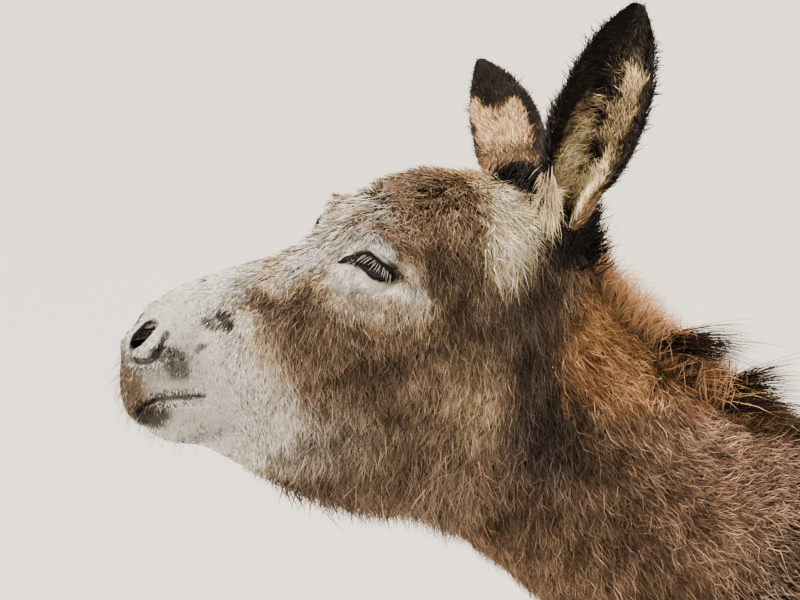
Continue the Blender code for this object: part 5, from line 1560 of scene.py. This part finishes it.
def maneTufts(name, roots, out, up, long, wide, tone, seed, **settings):
    up = unit(up + 0.30 * noiseVector(roots, 0.02, seed) + 0.25 * out)
    lie = alongSkin(up, out)
    lift = np.arcsin(np.clip((up * out).sum(axis=1), 0.05, 0.98))
    rng = np.random.default_rng(seed)
    tone = tone * rng.uniform(0.70, 1.30, len(roots))[:, None]
    # roots darker than tips: painted shade where the hairs crowd at the root
    piece = buildTufts(name, roots, out, lie, long, wide, lift, tone * 0.45, tone * 1.2,
                       fitSpots(roots[:, 0], roots[:, 1]), seed, joints=2, **settings)
    finishPiece(piece, horseHairMaterial, "coat_dark", *(["mane"] if name == "mane_wool" else []))


def makeMane():
    # rusty wool along the crest, fine pale wisps over it, black wool behind the ears and
    # between them, partly standing in for painted shadow of the near ear, three dark locks blown back
    front = blob(headLocal, (-0.020, 0.014, 0.0), (0.026, 0.028, 0.050), 0.4) * body * headShare
    gap = 1 - blob(headLocal, (-0.068, 0.002, -0.028), (0.022, 0.024, 0.028), 0.5)
    nape = blob(headLocal, (-0.030, -0.036, -0.050), (0.065, 0.062, 0.058), 0.4) * body * gap
    crest = crestWeight * (1 - np.maximum(front, nape))
    rng = np.random.default_rng(302)
    roots, out = rootsOn(crest, mane["wool"] // fewer, 301)
    back = roots[:, 0]
    long = (mane["woolLong"] + 0.026 * smoothStep(-0.36, -0.28, back) - 0.050 * smoothStep(-0.16, -0.05, back)
            + 0.014 * softNoise(roots, 0.03, 303))
    long = np.maximum(long, mane["woolShort"])
    tone = np.where((softNoise(roots, 0.030, 308) > 0.45)[:, None], tones["neckDark"] * 1.3,
                    tones["rust"] * 0.85 + tones["tan"] * 0.28)
    # it sinks into the dark stripe of the back
    tone = tint(tone, smoothStep(-0.15, -0.07, back), tones["neckDark"] * 1.8)
    up = np.array([[0.52, 0.0, 0.86]]) + rng.normal(0, 0.2, (len(roots), 1)) * np.array([[0, 1.0, 0]])
    maneTufts("mane_wool", roots, out, up, long, mane["woolWide"], tone, 304,
              lock=0.010, lockPull=0.7, lockTone=0.3, droop=0.10, curl=0.16, messy=0.32)
    roots, out = rootsOn(crest * (1 - smoothStep(-0.30, -0.25, skinPlaces[:, 0])), mane["wisps"] // fewer, 331)
    tone = everywhere(tones["tan"] * 0.95, roots)
    maneTufts("mane_wisps", roots, out, np.array([[0.60, 0.0, 0.80]]), mane["wispLong"], mane["wispWide"], tone, 332,
              lock=0.020, lockPull=0.5, curl=0.10, messy=0.3)
    # black wool behind and between the ears: black hair, and also painted shadow of the near ear
    roots, out = rootsOn(np.maximum(front, 1.6 * nape), mane["black"] // fewer, 341)
    ahead = inHead(roots)[:, 1:2] > 0.0
    up = np.where(ahead, np.array([[0.42, -0.22, 0.88]]), np.array([[0.70, -0.05, 0.55]]))
    long = np.where(ahead[:, 0], *mane["blackLong"])
    maneTufts("mane_black", roots, out, up, long, mane["blackWide"], everywhere(tones["black"], roots), 342,
              lock=0.016, lockPull=0.7, curl=0.15, messy=0.35)
    start, ends = [], []
    for root, tip, low, high, count in mane["locks"]:
        spread = rng.normal(0, 0.5, (count // fewer, 3))
        start.append(np.array(root) + spread * low)
        ends.append(np.array(tip) + spread * high - np.array(root) - spread * low)
    start, ends = np.vstack(start), np.vstack(ends)
    up = everywhere((0.45, 0.0, 0.89), start)
    lie = alongSkin(ends, up)
    lift = np.arcsin(np.clip((unit(ends) * up).sum(axis=1), -0.6, 0.9))
    tone = np.where(rng.uniform(0, 1, len(start))[:, None] < 0.12, tones["rust"],
                    tones["earBack"] * 0.55) * rng.uniform(0.5, 1.3, len(start))[:, None]
    long = np.linalg.norm(ends, axis=1) * rng.uniform(0.55, 1.10, len(start))
    # roots darker than tips: painted shade where the hairs crowd at the root
    piece = buildTufts("mane_locks", start, up, lie, long, mane["lockWide"], lift, tone * 0.5, tone * 1.1,
                       fitSpots(start[:, 0], start[:, 1]), 351, joints=3, lock=None, curl=0.07, messy=0.09)
    finishPiece(piece, horseHairMaterial, "coat_dark")


earTuft = {"hairs": 1200, "wide": 0.0010, "lift": 0.34, "long": (0.012, 0.031)}


def makeEarTuft():
    # long pale hair falling from the front of the near ear's root
    rise, _, reach, _, _, _ = earSpot("left", skinPlaces, skinNormals)
    weight = ((earOwner == 1) * smoothStep(-0.10, 0.0, rise) * (1 - smoothStep(0.14, 0.24, rise))
              * smoothStep(0.35, 0.6, -reach))
    roots, out = rootsOn(weight, earTuft["hairs"] // fewer, 361)
    down = everywhere((-0.10, -0.25, -1.0), roots) + 0.15 * noiseVector(roots, 0.01, 363)
    lie = alongSkin(down, out)
    tone = tones["earBand"] * np.random.default_rng(362).uniform(0.55, 1.15, len(roots))[:, None]
    long = np.random.default_rng(364).uniform(*earTuft["long"], len(roots))
    # roots darker than tips: painted shade where the hairs crowd at the root
    piece = buildTufts("ear_tuft", roots, out, lie, long, earTuft["wide"], earTuft["lift"], tone * 0.45, tone * 0.95,
                       earSpots(roots), 362, joints=3, lock=0.006, lockPull=0.6, lockTone=0.2, droop=0.20,
                       curl=0.26, messy=0.50)
    finishPiece(piece, hairMaterial, "coat_brown")


switch = {
    "hairs": 1100, "wide": 0.0034, "lift": 0.12, "longest": 0.24, "top": 0.640, "end": 0.515,
    "dock": ((0.515, 0.60, 0.66), (0.004, 0.011, 0.013)),      # height, half width
}


def makeSwitch():
    # long straight hair from the end of the dock, hanging past the hocks
    count = switch["hairs"] // fewer
    rng = np.random.default_rng(311)
    low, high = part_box("tail_switch")
    middle = (low + high) / 2
    top = rng.uniform(switch["end"], switch["top"], count)
    turn = rng.uniform(0, 2 * math.pi, count)
    out = np.stack([np.cos(turn), np.sin(turn), np.zeros(count)], axis=1)
    dock = np.interp(top, *switch["dock"])
    roots = np.stack([np.full(count, middle.x - 0.004), np.full(count, middle.y + 0.001), top],
                     axis=1) + out * dock[:, None]
    lie = everywhere((0.0, 0.0, -1.0), roots)
    long = np.minimum(top - (low.z + 0.012), switch["longest"]) * (0.55 + 0.45 * rng.uniform(0, 1, count) ** 0.5) / 1.1
    fair = (rng.uniform(0, 1, count) < 0.25)[:, None]
    tone = tones["black"] * 1.2 + (tones["cheekDark"] * 0.7 - tones["black"]) * fair
    tone = tone * rng.uniform(0.7, 1.35, count)[:, None]
    # roots darker than tips: painted shade where the hairs crowd at the root
    piece = buildTufts("tail_switch_hair", roots, out, lie, long, switch["wide"], switch["lift"], tone * 0.55,
                       tone * 1.1, fitSpots(top, turn), 312, joints=5, lock=None, curl=0.020)
    finishPiece(piece, horseHairMaterial, "coat_dark", "tail_switch")


whiskers = {"hairs": 260, "wide": 0.00045, "lift": 1.05, "long": 0.020}


def makeWhiskers():
    # stiff single feelers on the lips and chin
    weight = (blob(headLocal, (-0.035, 0.475, -0.070), (0.06, 0.05, 0.05), 0.4)
              + blob(headLocal, (-0.02, 0.500, -0.030), (0.05, 0.03, 0.05), 0.4)) * body * headShare
    count = whiskers["hairs"] if fewer == 1 else 40
    roots, out = rootsOn(weight * (1 - bare), count, 321)
    down = everywhere((-0.45, 0.0, -1.0), roots)
    lie = alongSkin(down, out)
    tone = everywhere(tones["lid"] * 1.6, roots)
    piece = buildTufts("whiskers", roots, out, lie, whiskers["long"], whiskers["wide"], whiskers["lift"], tone,
                       tone * 1.5, headSpots(roots), 322, joints=3, lock=None, droop=0.15, curl=0.04)
    finishPiece(piece, hairMaterial, "coat_dark")


makeMane()
makeEarTuft()
makeSwitch()
makeWhiskers()


# hooves
hoofShape = {"ring": 0.0005, "ringPitch": 0.0075, "ringWaver": 0.004, "edge": 0.0012, "sole": 0.003, "cuts": 3}


def makeHoof(end, side):
    node = f"hoof_{end}_{side}"
    piece = copyOfNodes([node], f"{node}_horn")
    editAll(piece, bpy.ops.mesh.tris_convert_to_quads)
    applyModifier(piece, "BEVEL", width=hoofShape["edge"], segments=2, limit_method="ANGLE",
                  angle_limit=math.radians(40))
    editAll(piece, bpy.ops.mesh.subdivide, number_cuts=hoofShape["cuts"])
    mesh = piece.data
    places, normals = placesOf(mesh), normalsOf(mesh)
    wall = (np.abs(normals[:, 2]) < 0.8) & (places[:, 2] > hoofShape["sole"])
    waver = hoofShape["ringWaver"] * softNoise(places, 0.03, 81)
    wave = np.sin(2 * math.pi * (places[:, 2] + waver) / hoofShape["ringPitch"])
    setPlaces(mesh, places + normals * (wall * hoofShape["ring"] * (wave - 1))[:, None])
    selectOnly(piece)
    bpy.ops.object.shade_smooth_by_angle(angle=math.radians(45))
    finishPiece(piece, hoofMaterial, "hoof_horn", node)


print("hooves")
for end in ("front", "hind"):
    for side in ("left", "right"):
        makeHoof(end, side)


# floor, light, camera
stage = {"floorReach": 170.0, "world": "f2f1ee", "worldStrength": 0.50, "aim": (-0.45, -0.05, 1.15)}


def makeFloor():
    material, tree = newMaterial("matt studio paper")
    place = addNode(tree, "TexCoord")
    grain = addNode(tree, "TexNoise", {"Scale": 60.0, "Detail": 2.0}, {"Vector": (place, "Object")})
    ramp = addNode(tree, "ValToRGB", None, {"Fac": (grain, "Fac")})
    setStops(ramp, [(0.3, "e2ded7"), (0.7, "e8e5de")])
    surface = addNode(tree, "BsdfPrincipled", {"Roughness": 0.9}, {"Base Color": (ramp, "Color")})
    addNode(tree, "OutputMaterial", None, {"Surface": (surface, "BSDF")})
    deselectAll()
    bpy.ops.mesh.primitive_circle_add(vertices=96, radius=stage["floorReach"], fill_type="NGON", location=(0, 0, 0))
    piece = bpy.context.object
    piece.name = "floor"
    piece.data.materials.append(material)


lamps = [
    # name, kind, place, tone, strength and softness
    ("sun", "SUN", (-0.50, -0.44, 1.30), "fff3e2", {"energy": 9.6, "angle": math.radians(10)}),
    ("fill", "AREA", (-3.2, -1.8, 1.3), "eef2ff", {"energy": 10, "size": 2.2}),
    ("rim", "AREA", (1.4, 1.6, 2.6), "fff0dc", {"energy": 30, "size": 1.2}),
]


def makeLamp(name, kind, place, tone, settings):
    light = bpy.data.lights.new(name, kind)
    light.color = linearColour(tone)
    for key, value in settings.items():
        setattr(light, key, value)
    lamp = addPiece(name, light)
    away = Vector(place) - Vector(stage["aim"]) if kind == "AREA" else Vector(place)
    lamp.matrix_world = Matrix.Translation(Vector(place)) @ away.to_track_quat("Z", "Y").to_matrix().to_4x4()


camera = {
    "lens": 65.25, "sensor": 36, "place": (-1.0310, -1.5379, 1.5499),
    "right": (0.98552, -0.16735, 0.02740), "up": (0.01135, 0.22633, 0.97398), "ahead": (0.16920, 0.95957, -0.22495),
}


def makeCamera():
    data = bpy.data.cameras.new("camera")
    data.lens, data.sensor_width, data.clip_end = camera["lens"], camera["sensor"], 300
    lens = addPiece("camera", data)
    turn = Matrix((camera["right"], camera["up"], -Vector(camera["ahead"]))).transposed().to_4x4()
    lens.matrix_world = Matrix.Translation(Vector(camera["place"]) + bodyShift) @ turn
    bpy.context.scene.camera = lens


print("floor, light and camera")
makeFloor()
world = bpy.data.worlds.new("pale room")
bpy.context.scene.world = world
world.use_nodes = True
sky = world.node_tree.nodes["Background"].inputs
sky["Color"].default_value, sky["Strength"].default_value = (*linearColour(stage["world"]), 1), stage["worldStrength"]
for lamp in lamps:
    makeLamp(*lamp)
makeCamera()
